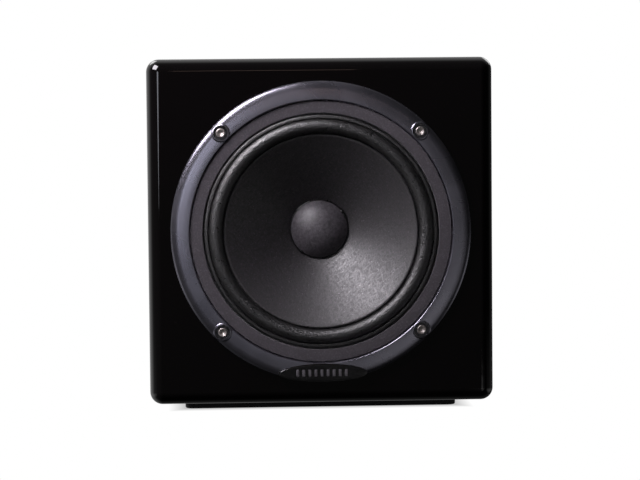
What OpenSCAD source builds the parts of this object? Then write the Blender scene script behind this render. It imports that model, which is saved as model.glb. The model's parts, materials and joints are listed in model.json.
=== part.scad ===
// Self-powered cube loudspeaker: one full-range driver in a lacquered cabinet,
// with an amplifier module let into the back and a pad with a stand thread below.
// Millimetres. +Z is up and the driver faces -Y. The origin is on the surface
// that the pad stands on, under the middle of the whole box.

/* [Cabinet] */
// Width, depth and height of the cube
cabinet_size = 165; // [162:1:172]
// Radius of the rounded outer edges
edge_radius = 6; // [4:0.5:7]
// Thickness of the side, top, bottom and rear panels
wall = 15; // [14:0.5:15]
// Thickness of the front baffle
baffle = 18; // [17:0.5:20]
// Thickness of the wadding on the inner walls
wadding = 7; // [5:0.5:8]

/* [Base] */
// Width and depth of the pad under the cabinet
pad_size = 131.5; // [120:0.5:140]
// Thickness of the pad
pad_thickness = 4; // [3.5:0.5:6]
// Radius of the tapped bore for a 5/8 in microphone stand
stand_bore_radius = 7.45; // [7.4:0.05:7.5]

/* [Driver front] */
// Outer diameter of the trim ring
ring_diameter = 143; // [142.5:0.5:145]
// Diameter of the opening in the trim ring
ring_opening = 125.4; // [125:0.1:125.6]
// How far the crown of the ring stands in front of the baffle
ring_height = 3.2; // [3:0.1:3.6]
// Diameter of the circle that the four driver screws lie on
screw_circle = 134.3; // [134:0.1:134.6]
// Length of the oval badge
badge_length = 42.6; // [36:0.2:46]
// Height of the oval badge
badge_height = 8.8; // [7:0.2:9]
// How far the badge stands in front of the baffle
badge_front = 4; // [3.8:0.1:4.4]

/* [Moving coil] */
// Radius of the crest of the surround's roll
roll_radius = 50.4; // [50:0.1:50.6]
// Outer radius of the roll's cross-section
roll_height = 4.6; // [4.4:0.1:4.7]
// Depth of the cone from its lip to its neck
cone_depth = 19.9; // [18:0.1:21]
// Diameter of the dust cap
dust_cap_diameter = 27.6; // [27.5:0.1:28]
// Height of the dust cap's dome
dust_cap_height = 6.2; // [5:0.1:7]
// Inner diameter of the voice coil's former
coil_diameter = 25.4; // [25.3:0.1:25.5]

/* [Amplifier] */
// Width and height of the amplifier's plate
plate_size = 141; // [139:0.5:143]
// Thickness of the plate
plate_thickness = 3; // [2.5:0.5:3.5]
// Width of the heat sink
sink_width = 122; // [110:1:122]
// Height of the heat sink
sink_height = 54; // [48:1:54]
// How far the fins reach behind the cabinet
rear_reach = 31; // [28:0.5:40]
// Number of fins
fin_count = 17; // [11:1:19]

/* [Controls] */
// Diameter of the level knob
knob_diameter = 24; // [20:0.5:26]
// How far the power rocker is tipped to its off side, in degrees
rocker_tilt = 9; // [6:1:10]

/* [Hidden] */
$fn = 96;
// how far a cutting solid runs past the face it opens
past = 1;

// places of the main planes
half = cabinet_size / 2;
front_y = badge_front - (badge_front + cabinet_size + rear_reach) / 2;
rear_y = front_y + cabinet_size;
middle_y = front_y + half;
middle_z = pad_thickness + half;
inner_half = half - wall;

// base
pad_hole_radius = 18;
insert_flange_radius = 17;
insert_flange = 2;
insert_barrel_radius = 9.95;
insert_hole_radius = 10;
insert_screw_circle = 28;
insert_pilot_radius = 1.2;
insert_top = pad_thickness + wall - 0.5;

// driver: sizes along its axis are depths behind the baffle's face, negative in front of it
flange_thickness = 3.2;
seal_thickness = 1;
rebate_depth = flange_thickness + seal_thickness;
flange_radius = 70;
rebate_radius = flange_radius + 0.4;
cut_out_radius = 62.2;
land_depth = 2;
land_radius = 62.6;
land_inner = 55.6;
gasket_inner = 55.9;
gasket_front = -1;
gasket_gap = 0.3;
surround_thickness = 0.6;
surround_outer = 61.5;
lip_depth = land_depth - surround_thickness;
lip_inner = roll_radius - 6.8;
lip_outer = roll_radius - 5;
cone_thickness = 0.8;
cone_curve = 1.15;
neck_length = 2.5;
former_radius = coil_diameter / 2;
former_outer = former_radius + 0.5;
former_end = 47;
neck_radius = former_outer + 0.05;
neck_depth = lip_depth - cone_thickness + cone_depth;
cap_skin = 0.6;
cap_rim = 1;
coil_start = 34;
coil_end = 46;
coil_outer = former_outer + 0.8;
spider_depth = 27;
spider_thickness = 0.6;
spider_radius = 38;
spider_roll_radius = 34;
spider_waves = 5;
spider_swing = 0.9;
seat_depth = 37;
magnet_depth = seat_depth + 6;
yoke_depth = magnet_depth + 15;
bucking_depth = yoke_depth + 6;
bucking_end = bucking_depth + 10;
iron_radius = 38;
gap_outer = 14.6;
pole_radius = 12.2;
vent_radius = 4;
can_radius = 45;
can_skin = 1;
can_end = bucking_end + can_skin;
strip_height = 45;
strip_thickness = 1.6;
tag_spacing = 12;

// driver screws
screw_shank_radius = 1.95;
screw_length = 16;
screw_hole_radius = 2.15;
screw_head_radius = 3.15;
screw_head_height = 2;
recess_radius = 3.65;
recess_floor = 0.6;
socket_radius = 3.15;

// badge
badge_pocket = 1.6;
badge_step = 0.6;
badge_rim = 0.7;
badge_drop = 0.3;

// amplifier: sizes along its axis are distances behind the cabinet's rear face, negative inside it
seal_rear = 0.8;
plate_face = seal_rear + plate_thickness;
plate_corner = 6;
opening_size = 118;
plate_screw_inset = 6;
plate_screw_radius = 1.7;
plate_screw_length = 14;
sink_base = 4;
sink_centre = 33;
fin_thickness = 1.6;
board_size = 114;
board_bottom = -5;
board_face = -30;
board_back = board_face - 1.6;
standoff_reach = 53;
standoff_rows = [0, 53];
standoff_screw_radius = 1.5;
standoff_hole_radius = 1.6;
knob_place = [-47, -24];
rocker_place = [47, -17];
inlet_place = [34, -46];
fuse_place = [20, -16];
socket_place = [-12, -32];
led_place = [34, -16];
transistor_row = 28;
transistor_places = [-28, 0, 28];
capacitor_places = [[-42, 34], [-20, 34]];
transformer_place = [28, 26];

// controls
bush_radius = 3.5;
shaft_radius = 3;
rocker_pivot = plate_face - 0.8;
trunnion_radius = 1;
running_gap = 0.05;
inlet_flange = 3;
inlet_depth = 16.5;
inlet_screw_reach = 20;
inlet_body = [27.4, 19.8];
fuse_barrel_radius = 6.2;
fuse_bore_radius = 5.1;
socket_barrel_radius = 11.8;
socket_bore_radius = 9.6;
socket_screw = [9.5, 12];
core_radius = 7.9;
jack_radius = 3.25;
led_radius = 2.5;

// routes of the two driver wires, from a terminal tag to the amplifier's board
wire_diameter = 2.2;
red_route = [
    [6, -60, 37.6], [6, -54, 37.4], [8, -44, 35], [11, -30, 33], [12, -14, 34],
    [10, -2, 42], [8, 8, 54], [7, 18, 68], [6, 27, 80], [6, 32, 83.5], [6, 36.5, 84]
];
black_route = [
    [-6, -60, 37.6], [-6, -54, 37.4], [-4, -44, 34.6], [1, -30, 32.6], [5, -14, 33.6],
    [5, -2, 41.6], [4, 8, 53.6], [2, 18, 67.6], [0, 27, 79.6], [-1, 32, 83.5], [-1, 36.5, 84]
];
// route of a tinsel lead from its tag to the back of the cone: aside, down and back from the
// middle of the baffle's face
tinsel_route = [[7, 47, 25], [11, 46.4, 22.6], [14, 43, 20], [14, 36, 19.4], [11, 30, 20], [8, 25, 16.4]];
tinsel_diameter = 1.2;

// ---- helpers ----

// local z runs back from the baffle's face along the driver's axis, and local y runs down
module from_front() {
    translate([0, front_y, middle_z]) rotate([-90, 0, 0]) children();
}

// local z runs back from the cabinet's rear face, local x to the right as seen from behind
module from_rear() {
    translate([0, rear_y, middle_z]) rotate([90, 0, 180]) children();
}

module disc(radius, start, end) {
    translate([0, 0, start]) cylinder(r = radius, h = end - start);
}

module ring(inner, outer, start, end) {
    difference() {
        disc(outer, start, end);
        disc(inner, start - past, end + past);
    }
}

module block(low, high) {
    translate(low) cube(high - low);
}

module around(count, radius, first) {
    for (i = [0 : count - 1])
        rotate([0, 0, first + i * 360 / count]) translate([radius, 0, 0]) children();
}

module both_sides(offset) {
    for (side = [-1, 1]) translate(side * offset) children();
}

// turns what is drawn from local z = 0 inwards to face the other way, from a given height
module inwards(height) {
    translate([0, 0, height]) rotate([180, 0, 0]) children();
}

function arc(centre, radius, from, to, steps) =
    [for (i = [0 : steps]) let (a = from + (to - from) * i / steps)
        [centre[0] + radius * cos(a), centre[1] + radius * sin(a)]];

function rounded_outline(width, height, radius, steps = 8) = concat(
    arc([width / 2 - radius, height / 2 - radius], radius, 0, 90, steps),
    arc([radius - width / 2, height / 2 - radius], radius, 90, 180, steps),
    arc([radius - width / 2, radius - height / 2], radius, 180, 270, steps),
    arc([width / 2 - radius, radius - height / 2], radius, 270, 360, steps));

function oval_outline(length, height, steps = 64) =
    [for (i = [0 : steps - 1]) let (a = 360 * i / steps)
        [length / 2 * cos(a), height / 2 * sin(a)]];

module rounded_plate(width, height, radius, start, end) {
    translate([0, 0, start]) linear_extrude(height = end - start)
        polygon(rounded_outline(width, height, radius));
}

// a pan-head screw along local z: the head stands in front of z = 0, and the shank behind it
module pan_screw(head_radius, head_height, shank_radius, length, turn = 0) {
    crown = head_height * 0.6;
    ball = (head_radius * head_radius + crown * crown) / (2 * crown);
    slot = [head_radius * 0.58, head_radius * 0.13];
    difference() {
        intersection() {
            disc(head_radius, -head_height, 0);
            translate([0, 0, ball - head_height]) sphere(r = ball);
        }
        for (arm = [0, 90]) rotate([0, 0, turn + arm])
            block([-slot[0], -slot[1], -head_height - past], [slot[0], slot[1], -head_height * 0.4]);
    }
    disc(shank_radius, 0, length);
}

function catmull(a, b, c, d, t) =
    0.5 * (2 * b + (c - a) * t + (2 * a - 5 * b + 4 * c - d) * t * t
        + (3 * b - a - 3 * c + d) * t * t * t);

function smooth_path(points, steps) = concat(
    [for (i = [0 : len(points) - 2]) for (j = [0 : steps - 1])
        catmull(points[max(i - 1, 0)], points[i], points[i + 1],
            points[min(i + 2, len(points) - 1)], j / steps)],
    [points[len(points) - 1]]);

// a round tube along a path that never runs along the aside direction
module tube(path, diameter, aside, sides = 8) {
    last = len(path) - 1;
    headings = [for (i = [0 : last]) path[min(i + 1, last)] - path[max(i - 1, 0)]];
    acrosses = [for (h = headings) cross(h, aside) / norm(cross(h, aside))];
    ups = [for (i = [0 : last]) cross(headings[i], acrosses[i]) / norm(headings[i])];
    points = [for (i = [0 : last]) for (k = [0 : sides - 1])
        path[i] + diameter / 2 * (cos(360 * k / sides) * acrosses[i] + sin(360 * k / sides) * ups[i])];
    walls = [for (i = [0 : last - 1]) for (k = [0 : sides - 1])
        [i * sides + k, (i + 1) * sides + k, (i + 1) * sides + (k + 1) % sides, i * sides + (k + 1) % sides]];
    polyhedron(points = points, convexity = 6, faces = concat(
        [[for (k = [0 : sides - 1]) k]], walls, [[for (k = [sides - 1 : -1 : 0]) last * sides + k]]));
}

// ---- cabinet ----

module rounded_prism() {
    translate([0, 0, -half - past]) linear_extrude(height = cabinet_size + 2 * past)
        polygon(rounded_outline(cabinet_size, cabinet_size, edge_radius));
}

module rounded_block() {
    translate([0, middle_y, middle_z]) intersection() {
        rounded_prism();
        rotate([90, 0, 0]) rounded_prism();
        rotate([0, 90, 0]) rounded_prism();
    }
}

// the part of the rounded block between two corners
module panel(low, high) {
    color("black") intersection() {
        rounded_block();
        block(low, high);
    }
}

module front_baffle() {
    difference() {
        panel([-half, front_y - past, pad_thickness],
            [half, front_y + baffle, pad_thickness + cabinet_size]);
        from_front() {
            disc(rebate_radius, -past, rebate_depth);
            disc(cut_out_radius, 0, baffle + past);
            screw_places() disc(socket_radius + running_gap, 0, baffle + past);
        }
    }
}

module rear_panel() {
    difference() {
        panel([-half, rear_y - wall, pad_thickness],
            [half, rear_y + past, pad_thickness + cabinet_size]);
        from_rear() {
            rounded_plate(opening_size, opening_size, plate_corner, -wall - past, past);
            plate_screw_places() disc(plate_screw_radius + running_gap, 2 - wall, past);
        }
    }
}

module left_side() {
    panel([-half, front_y + baffle, pad_thickness],
        [-inner_half, rear_y - wall, pad_thickness + cabinet_size]);
}

module right_side() {
    panel([inner_half, front_y + baffle, pad_thickness],
        [half, rear_y - wall, pad_thickness + cabinet_size]);
}

module top_panel() {
    panel([-inner_half, front_y + baffle, pad_thickness + cabinet_size - wall],
        [inner_half, rear_y - wall, pad_thickness + cabinet_size]);
}

module bottom_panel() {
    difference() {
        panel([-inner_half, front_y + baffle, pad_thickness],
            [inner_half, rear_y - wall, pad_thickness + wall]);
        under_cabinet() {
            disc(insert_hole_radius, 0, pad_thickness + wall + past);
            insert_screw_places() disc(insert_pilot_radius, 0, pad_thickness + wall / 2 + 1.5);
        }
    }
}

// a liner on both sides and under the top, clear of the driver and the amplifier
module wall_wadding() {
    start = front_y + baffle + 20;
    end = rear_y - wall - 28;
    low = pad_thickness + wall;
    high = low + 2 * inner_half;
    gap = 0.5;
    color("gainsboro") {
        block([-inner_half, start, low], [wadding - inner_half, end, high]);
        block([inner_half - wadding, start, low], [inner_half, end, high]);
        block([wadding - inner_half + gap, start, high - wadding],
            [inner_half - wadding - gap, end, high]);
    }
}

// ---- base ----

module under_cabinet() {
    translate([0, middle_y, 0]) children();
}

module insert_screw_places() {
    around(3, insert_screw_circle / 2, 90) children();
}

module base_pad() {
    color("#1a1a1a") under_cabinet() difference() {
        rounded_plate(pad_size, pad_size, 4, 0, pad_thickness);
        disc(pad_hole_radius, -past, pad_thickness + past);
    }
}

module stand_insert() {
    flange_face = pad_thickness - insert_flange;
    color("silver") under_cabinet() difference() {
        union() {
            disc(insert_flange_radius, flange_face, pad_thickness);
            disc(insert_barrel_radius, flange_face, insert_top);
        }
        disc(stand_bore_radius, flange_face - past, insert_top - 1.5);
        insert_screw_places() disc(insert_pilot_radius + 0.2, flange_face - past, pad_thickness + past);
    }
}

module stand_insert_screws() {
    color("silver") under_cabinet() translate([0, 0, pad_thickness - insert_flange])
        insert_screw_places() pan_screw(2.3, 1.4, insert_pilot_radius - running_gap, 9);
}

// ---- driver ----

module screw_places() {
    around(4, screw_circle / 2, 45) children();
}

module baffle_inserts() {
    color("goldenrod") from_front() screw_places()
        ring(screw_shank_radius + 0.1, socket_radius, rebate_depth, baffle - 1);
}

// how far the ring stands in front of the baffle, across its width from 0 to 1
function ring_crown(t) =
    let (edge = 1.9, fall = 0.5)
    edge + (ring_height - edge) * pow(sin(180 * pow(t, 0.85)), 0.7) - fall * t;

function ring_profile() =
    let (steps = 20, foot = 0.5, inner = ring_opening / 2, outer = ring_diameter / 2, bead = outer - 0.7)
    concat(
        [[inner, 0], [inner, -1.5]],
        [for (i = [0 : steps]) let (t = i / steps) [inner + 0.3 + (bead - inner - 0.3) * t, -ring_crown(t)]],
        [[bead, -foot], [outer, -foot], [outer, 0]]);

module badge_block(length, height, start, end) {
    translate([0, screw_circle / 2 + badge_drop, start]) linear_extrude(height = end - start)
        polygon(oval_outline(length, height));
}

module trim_ring() {
    color("#4c4b50") from_front() difference() {
        rotate_extrude() polygon(ring_profile());
        screw_places() {
            disc(recess_radius, -ring_height - past, -recess_floor);
            disc(screw_hole_radius, -recess_floor - past, past);
        }
        badge_block(badge_length, badge_height, -ring_height - past, -badge_pocket);
    }
}

module badge() {
    step = badge_step - badge_front;
    color("#101012") from_front() {
        badge_block(badge_length, badge_height, step, -badge_pocket);
        badge_block(badge_length - 2 * badge_rim, badge_height - 2 * badge_rim, -badge_front, step);
    }
}

module driver_screws() {
    color("silver") from_front() screw_places() translate([0, 0, -recess_floor])
        pan_screw(screw_head_radius, screw_head_height, screw_shank_radius, screw_length, 20);
}

module driver_seal() {
    color("#222222") from_front() difference() {
        ring(cut_out_radius + 0.2, flange_radius, flange_thickness, rebate_depth);
        screw_places() disc(screw_hole_radius + 0.25, 0, rebate_depth + past);
    }
}

// flange, land for the surround, wall, ledge for the spider and seat for the magnet
function basket_profile() =
    let (wall_top = [59.6, 12], wall_foot = [40, 25], skin = 2)
    [
        [flange_radius, 0], [land_radius, 0], [land_radius, land_depth], [land_inner, land_depth],
        [land_inner, 4.5], [wall_top[0], 4.5], wall_top, wall_foot, [wall_foot[0], spider_depth],
        [spider_roll_radius, spider_depth], [spider_roll_radius, 34], [16, 34], [16, seat_depth],
        [36.5, seat_depth], [36.5, 31], [wall_foot[0] + skin, 30], [wall_foot[0] + skin, spider_depth],
        [wall_top[0] + skin, 13.5], [wall_top[0] + skin, flange_thickness],
        [flange_radius, flange_thickness]
    ];

// a wedge that leaves ribs of even width between six of its kind
module basket_window() {
    reach = 80;
    apex = 20;
    translate([0, 0, 9]) linear_extrude(height = 15.5)
        polygon([[apex, 0], [reach, -reach * tan(30)], [reach, reach * tan(30)]]);
}

module basket() {
    bracket = 4;
    color("#3a3a3e") from_front() difference() {
        union() {
            rotate_extrude() polygon(basket_profile());
            block([-9, spider_radius, spider_depth + 0.5], [9, strip_height, spider_depth + bracket]);
        }
        around(6, 0, 0) basket_window();
        screw_places() disc(screw_hole_radius, -past, flange_thickness + past);
    }
}

module front_gasket() {
    color("#4a474b") from_front()
        ring(gasket_inner, ring_opening / 2 - gasket_gap, gasket_front, lip_depth);
}

function surround_profile() =
    let (inner_roll = roll_height - surround_thickness)
    concat(
        [[surround_outer, land_depth], [surround_outer, lip_depth]],
        arc([roll_radius, lip_depth], roll_height, 0, -180, 24),
        [[lip_inner + 0.2, lip_depth], [lip_inner + 0.2, land_depth]],
        [[roll_radius - inner_roll, land_depth]],
        arc([roll_radius, lip_depth], inner_roll, -180, 0, 24),
        [[roll_radius + inner_roll, land_depth]]);

module surround() {
    color("#121214") from_front() rotate_extrude() polygon(surround_profile());
}

// depth of the cone's front surface at a radius
function cone_front(radius) = lip_depth - cone_thickness
    + cone_depth * pow((lip_inner - radius) / (lip_inner - neck_radius), cone_curve);

function cone_profile() =
    let (steps = 18, thick = cone_thickness * 1.25, neck_end = neck_depth + neck_length)
    let (radii = [for (i = [0 : steps]) lip_inner + (neck_radius - lip_inner) * i / steps])
    concat(
        [[lip_outer, lip_depth], [lip_outer, lip_depth - cone_thickness]],
        [for (r = radii) [r, cone_front(r)]],
        [[neck_radius, neck_end], [neck_radius + 0.9, neck_end]],
        [for (i = [steps - 1 : -1 : 1]) [radii[i], cone_front(radii[i]) + thick]],
        [[lip_inner, lip_depth]]);

module cone() {
    color("#2c2b2f") from_front() rotate_extrude() polygon(cone_profile());
}

// a dome with a short straight rim, glued to the front of the cone
module dust_cap() {
    edge = dust_cap_diameter / 2;
    ball = (edge * edge + dust_cap_height * dust_cap_height) / (2 * dust_cap_height);
    rim = cone_front(edge) - 0.1;
    top = rim - cap_rim - dust_cap_height;
    color("#39383c") from_front() difference() {
        intersection() {
            disc(edge, top - past, rim);
            translate([0, 0, top + ball]) sphere(r = ball);
        }
        intersection() {
            disc(edge - cap_skin, top, rim + past);
            translate([0, 0, top + ball]) sphere(r = ball - cap_skin);
        }
    }
}

module coil_former() {
    color("#c9a26a") from_front() ring(former_radius, former_outer, neck_depth - 1, former_end);
}

module coil_winding() {
    color("#b3602c") from_front() ring(former_outer + 0.02, coil_outer, coil_start, coil_end);
}

function spider_profile() =
    let (steps = 60, start = coil_outer + 0.6, face = spider_depth - spider_thickness)
    let (wave = [for (i = [0 : steps]) let (t = i / steps)
        [start + (spider_roll_radius - start) * t, face - spider_swing * sin(360 * spider_waves * t)]])
    concat(
        [[former_outer + 0.1, face - 1.6], [former_outer + 0.6, face - 1.6], [former_outer + 0.6, face]],
        wave, [[spider_radius, face], [spider_radius, spider_depth]],
        [for (i = [steps : -1 : 0]) wave[i] + [0, spider_thickness - 0.05]],
        [[former_outer + 0.1, spider_depth - 0.05]]);

module spider() {
    color("#c08a3c") from_front() rotate_extrude() polygon(spider_profile());
}

module top_plate() {
    color("lightsteelblue") from_front() ring(gap_outer, iron_radius, seat_depth, magnet_depth);
}

module magnet() {
    color("#2b2b2d") from_front() ring(18, 42, magnet_depth, yoke_depth);
}

module pole_yoke() {
    pole_face = seat_depth - 0.5;
    color("lightsteelblue") from_front() difference() {
        union() {
            disc(iron_radius, yoke_depth, bucking_depth);
            disc(pole_radius, pole_face, yoke_depth + past);
        }
        disc(vent_radius, pole_face - past, bucking_depth + past);
    }
}

module bucking_magnet() {
    color("#2b2b2d") from_front() ring(2 * vent_radius, 36, bucking_depth, bucking_end);
}

module shield_can() {
    mouth = magnet_depth - 2;
    color("lightgray") from_front() difference() {
        disc(can_radius, mouth, can_end);
        disc(can_radius - can_skin, mouth - past, bucking_end);
        disc(2 * vent_radius, bucking_end - past, can_end + past);
    }
}

module terminal_strip() {
    color("#7a4a22") from_front() block([-11, strip_height, spider_depth + 0.5],
        [11, strip_height + strip_thickness, seat_depth + 1]);
}

module terminal_tags() {
    size = [1.6, 0.8];
    low = strip_height + strip_thickness;
    color("goldenrod") from_front() both_sides([tag_spacing / 2, 0, 0])
        block([-size[0], low, spider_depth - 1.5], [size[0], low + size[1], seat_depth]);
}

module tinsel_leads() {
    color("#b08d57") from_front() for (side = [-1, 1])
        tube(smooth_path([for (p = tinsel_route) [side * p[0], p[1], p[2]]], 5), tinsel_diameter, [1, 0.3, 0]);
}

module driver_wire(route) {
    tube(smooth_path(route, 5), wire_diameter, [0, 0, 1]);
}

module driver_wire_red() {
    color("firebrick") driver_wire(red_route);
}

module driver_wire_black() {
    color("#202020") driver_wire(black_route);
}

// ---- amplifier ----

module plate_screw_places() {
    reach = plate_size / 2 - plate_screw_inset;
    for (u = [-1 : 1]) for (v = [-1 : 1])
        if (u != 0 || v != 0) translate([u * reach, v * reach, 0]) children();
}

module standoff_places() {
    for (side = [-1, 1]) for (row = standoff_rows)
        translate([side * standoff_reach, row, 0]) children();
}

module amp_plate_seal() {
    color("#202020") from_rear() difference() {
        rounded_plate(plate_size, plate_size, plate_corner, 0, seal_rear);
        rounded_plate(opening_size + 1, opening_size + 1, plate_corner, -past, seal_rear + past);
        plate_screw_places() disc(plate_screw_radius + 0.3, -past, seal_rear + past);
    }
}

// a round hole through the plate
module plate_hole(radius) {
    disc(radius, seal_rear - past, plate_face + past);
}

// a rectangular hole through the plate
module plate_slot(width, height) {
    block([-width / 2, -height / 2, seal_rear - past], [width / 2, height / 2, plate_face + past]);
}

module amp_plate() {
    color("#1c1c1e") from_rear() difference() {
        rounded_plate(plate_size, plate_size, plate_corner, seal_rear, plate_face);
        plate_screw_places() plate_hole(plate_screw_radius + 0.2);
        standoff_places() plate_hole(standoff_hole_radius);
        translate(knob_place) plate_hole(bush_radius + 0.1);
        translate(rocker_place) plate_slot(13.2, 19.2);
        translate(inlet_place) {
            plate_slot(inlet_body[0] + 0.4, inlet_body[1] + 0.4);
            both_sides([inlet_screw_reach, 0, 0]) plate_hole(1.6);
        }
        translate(fuse_place) plate_hole(fuse_barrel_radius + 0.1);
        translate(socket_place) {
            plate_hole(socket_barrel_radius + 0.2);
            both_sides(socket_screw) plate_hole(1.6);
        }
        translate(led_place) plate_hole(led_radius + 0.1);
    }
}

module amp_plate_screws() {
    color("#2a2a2c") from_rear() plate_screw_places() inwards(plate_face)
        pan_screw(3.3, 2.1, plate_screw_radius, plate_screw_length);
}

// a comb of upright fins on a flat base with pockets over the stand-offs' screws
module heat_sink() {
    base_face = plate_face + sink_base;
    pitch = (sink_width - fin_thickness) / (fin_count - 1);
    color("#1b1b1d") from_rear() difference() {
        translate([-sink_width / 2, sink_centre - sink_height / 2, 0]) {
            block([0, 0, plate_face], [sink_width, sink_height, base_face]);
            for (i = [0 : fin_count - 1]) translate([i * pitch, 0, 0])
                block([0, 0, plate_face], [fin_thickness, sink_height, rear_reach]);
        }
        standoff_places() disc(3.2, plate_face - past, plate_face + sink_base / 2);
    }
}

module amp_board() {
    color("darkgreen") from_rear() difference() {
        block([-board_size / 2, board_bottom, board_back], [board_size / 2, board_size / 2, board_face]);
        standoff_places() disc(standoff_hole_radius, board_back - past, board_face + past);
    }
}

module board_standoffs() {
    color("silver") from_rear() standoff_places() {
        translate([0, 0, board_face]) cylinder(r = 3, h = seal_rear - board_face, $fn = 6);
        inwards(plate_face) pan_screw(2.8, 1.6, standoff_screw_radius, plate_thickness);
        translate([0, 0, board_back])
            pan_screw(2.8, 1.6, standoff_screw_radius, board_face - board_back);
    }
}

// each lies flat on the back of the plate, with its three legs bent down to the board
module output_transistors() {
    body = [9, 12, 5];
    leg = [0.6, 14, 1.6];
    color("#222222") from_rear() for (place = transistor_places) translate([place, transistor_row, 0]) {
        block([-body[0], -body[1], seal_rear - body[2]], [body[0], body[1], seal_rear]);
        for (pin = [-5, 0, 5]) translate([pin, 0, 0]) {
            block([-leg[0], -leg[1], -1.5 * leg[2]], [leg[0], -body[1], -leg[2]]);
            block([-leg[0], -leg[1] - 0.8, board_face], [leg[0], -leg[1], -leg[2]]);
        }
    }
}

module filter_capacitors() {
    height = 30;
    color("navy") from_rear() for (place = capacitor_places) translate(place) inwards(board_back) {
        disc(9, 0, height - 1);
        disc(8.2, height - 2, height);
    }
}

// an E-I core: two windows around a middle leg
module transformer_core() {
    color("#3b3b3e") from_rear() translate([transformer_place[0], transformer_place[1], board_back])
        difference() {
            block([-20, -17, -24], [20, 17, 0]);
            both_sides([10.5, 0, 0]) block([-4.5, -18, -19], [4.5, 18, -5]);
        }
}

module transformer_winding() {
    color("#c8a23a") from_rear() translate([transformer_place[0], transformer_place[1], board_back])
        difference() {
            block([-14.4, -21, -18.5], [14.4, 21, -5.5]);
            block([-7, -18, -20], [7, 18, -4]);
        }
}

module level_pot() {
    can = [8.5, 11];
    bush_end = plate_face + 4.5;
    color("gray") from_rear() translate(knob_place) difference() {
        union() {
            disc(can[0], seal_rear - can[1], seal_rear);
            disc(bush_radius, 0, bush_end);
        }
        disc(shaft_radius + running_gap, seal_rear - can[1] + 3, bush_end + past);
    }
}

module pot_nut() {
    color("silver") from_rear() translate(knob_place) difference() {
        translate([0, 0, plate_face]) cylinder(r = 5.8, h = 2.2, $fn = 6);
        disc(bush_radius + running_gap, plate_face - past, plate_face + 2.2 + past);
    }
}

module pot_shaft() {
    color("lightgray") from_rear() translate(knob_place)
        disc(shaft_radius, seal_rear - 7.5, plate_face + 15);
}

// a skirted knob with flutes around it and a pointer line across the top of its face
module level_knob() {
    radius = knob_diameter / 2;
    skirt = 2;
    start = plate_face + 1;
    end = plate_face + 16;
    color("#161618") from_rear() translate(knob_place) difference() {
        union() {
            disc(radius, start, start + skirt);
            disc(radius - 1, start, end);
        }
        disc(7.5, start - past, start + 4.5);
        disc(shaft_radius + 0.02, start, plate_face + 15.1);
        around(18, radius + 0.4, 10) disc(2, start + skirt + 0.5, end + past);
        block([-0.6, radius - 6, end - 0.8], [0.6, radius, end + past]);
    }
}

module switch_housing() {
    lug = [2.4, 0.4];
    color("#141416") from_rear() translate(rocker_place) difference() {
        union() {
            block([-7.5, -10.5, plate_face], [7.5, 10.5, plate_face + 1.6]);
            block([-6.5, -9.5, -13], [6.5, 9.5, plate_face + 0.5]);
            for (place = [-6, 0, 6]) translate([0, place, 0])
                block([-lug[0], -lug[1], -21], [lug[0], lug[1], -12]);
        }
        block([-5.6, -8.8, -8], [5.6, 8.8, plate_face + 3]);
        translate([-6.3, 0, rocker_pivot]) rotate([0, 90, 0])
            cylinder(r = trunnion_radius + running_gap, h = 12.6);
    }
}

// its face is two flats that meet in a shallow valley over the trunnions
module power_rocker() {
    end = 8;
    tip = 5.4;
    outline = [[-end, tip], [0, tip - 2], [end, tip], [end, 1.6], [2.6, -6], [-2.6, -6], [-end, 1.6]];
    color("#0f0f10") from_rear() translate([rocker_place[0], rocker_place[1], rocker_pivot])
        rotate([rocker_tilt, 0, 0]) {
            rotate([90, 0, 90]) translate([0, 0, -5.3]) linear_extrude(height = 10.6) polygon(outline);
            translate([-6.2, 0, 0]) rotate([0, 90, 0]) cylinder(r = trunnion_radius, h = 12.4);
        }
}

// the recess is six-sided: a rectangle with its two upper corners cut off
function inlet_outline() = [
    [-12.1, -8], [12.1, -8], [12.1, 3.4], [7.5, 8], [-7.5, 8], [-12.1, 3.4]
];

module inlet_blades(grow) {
    size = [1 + grow, 2 + grow];
    for (place = [[-7, -2, 0], [7, -2, 0], [0, 2, 0]])
        translate(place) block([-size[0], -size[1], -24], [size[0], size[1], plate_face]);
}

module mains_inlet() {
    face = plate_face + inlet_flange;
    floor_level = face - inlet_depth;
    body = inlet_body / 2;
    color("#121214") from_rear() translate(inlet_place) difference() {
        union() {
            rounded_plate(50, 22.6, 4, plate_face, face);
            block([-body[0], -body[1], floor_level - 4], [body[0], body[1], plate_face + past]);
        }
        translate([0, 0, floor_level]) linear_extrude(height = inlet_depth + past) polygon(inlet_outline());
        both_sides([inlet_screw_reach, 0, 0]) {
            disc(1.7, plate_face - past, face + past);
            disc(3.2, plate_face + 1.4, face + past);
        }
        inlet_blades(running_gap);
    }
}

module inlet_pins() {
    color("silver") from_rear() translate(inlet_place) inlet_blades(0);
}

module inlet_screws() {
    color("silver") from_rear() translate(inlet_place) both_sides([inlet_screw_reach, 0, 0])
        inwards(plate_face + 1.4) pan_screw(2.8, 1.5, 1.45, 9, 35);
}

module fuse_holder() {
    color("#141416") from_rear() translate(fuse_place) difference() {
        union() {
            disc(8, plate_face, plate_face + 2);
            disc(fuse_barrel_radius, -24, plate_face + past);
            block([-1.6, -0.5, -28], [1.6, 0.5, -23]);
        }
        disc(fuse_bore_radius, -22.5, plate_face + 3);
    }
}

// a cap with a grip of grooves, a screwdriver slot and a socket that holds one end of the fuse
module fuse_cap() {
    start = plate_face + 2.2;
    end = plate_face + 8;
    color("#101012") from_rear() translate(fuse_place) difference() {
        union() {
            disc(6.6, start, end);
            disc(fuse_bore_radius - 0.2, plate_face - 6, start + past);
        }
        disc(2.9, plate_face - 7, plate_face - 1);
        block([-4.6, -0.7, end - 1.6], [4.6, 0.7, end + past]);
        around(12, 7.2, 0) disc(0.9, start + 0.8, end + past);
    }
}

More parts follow.
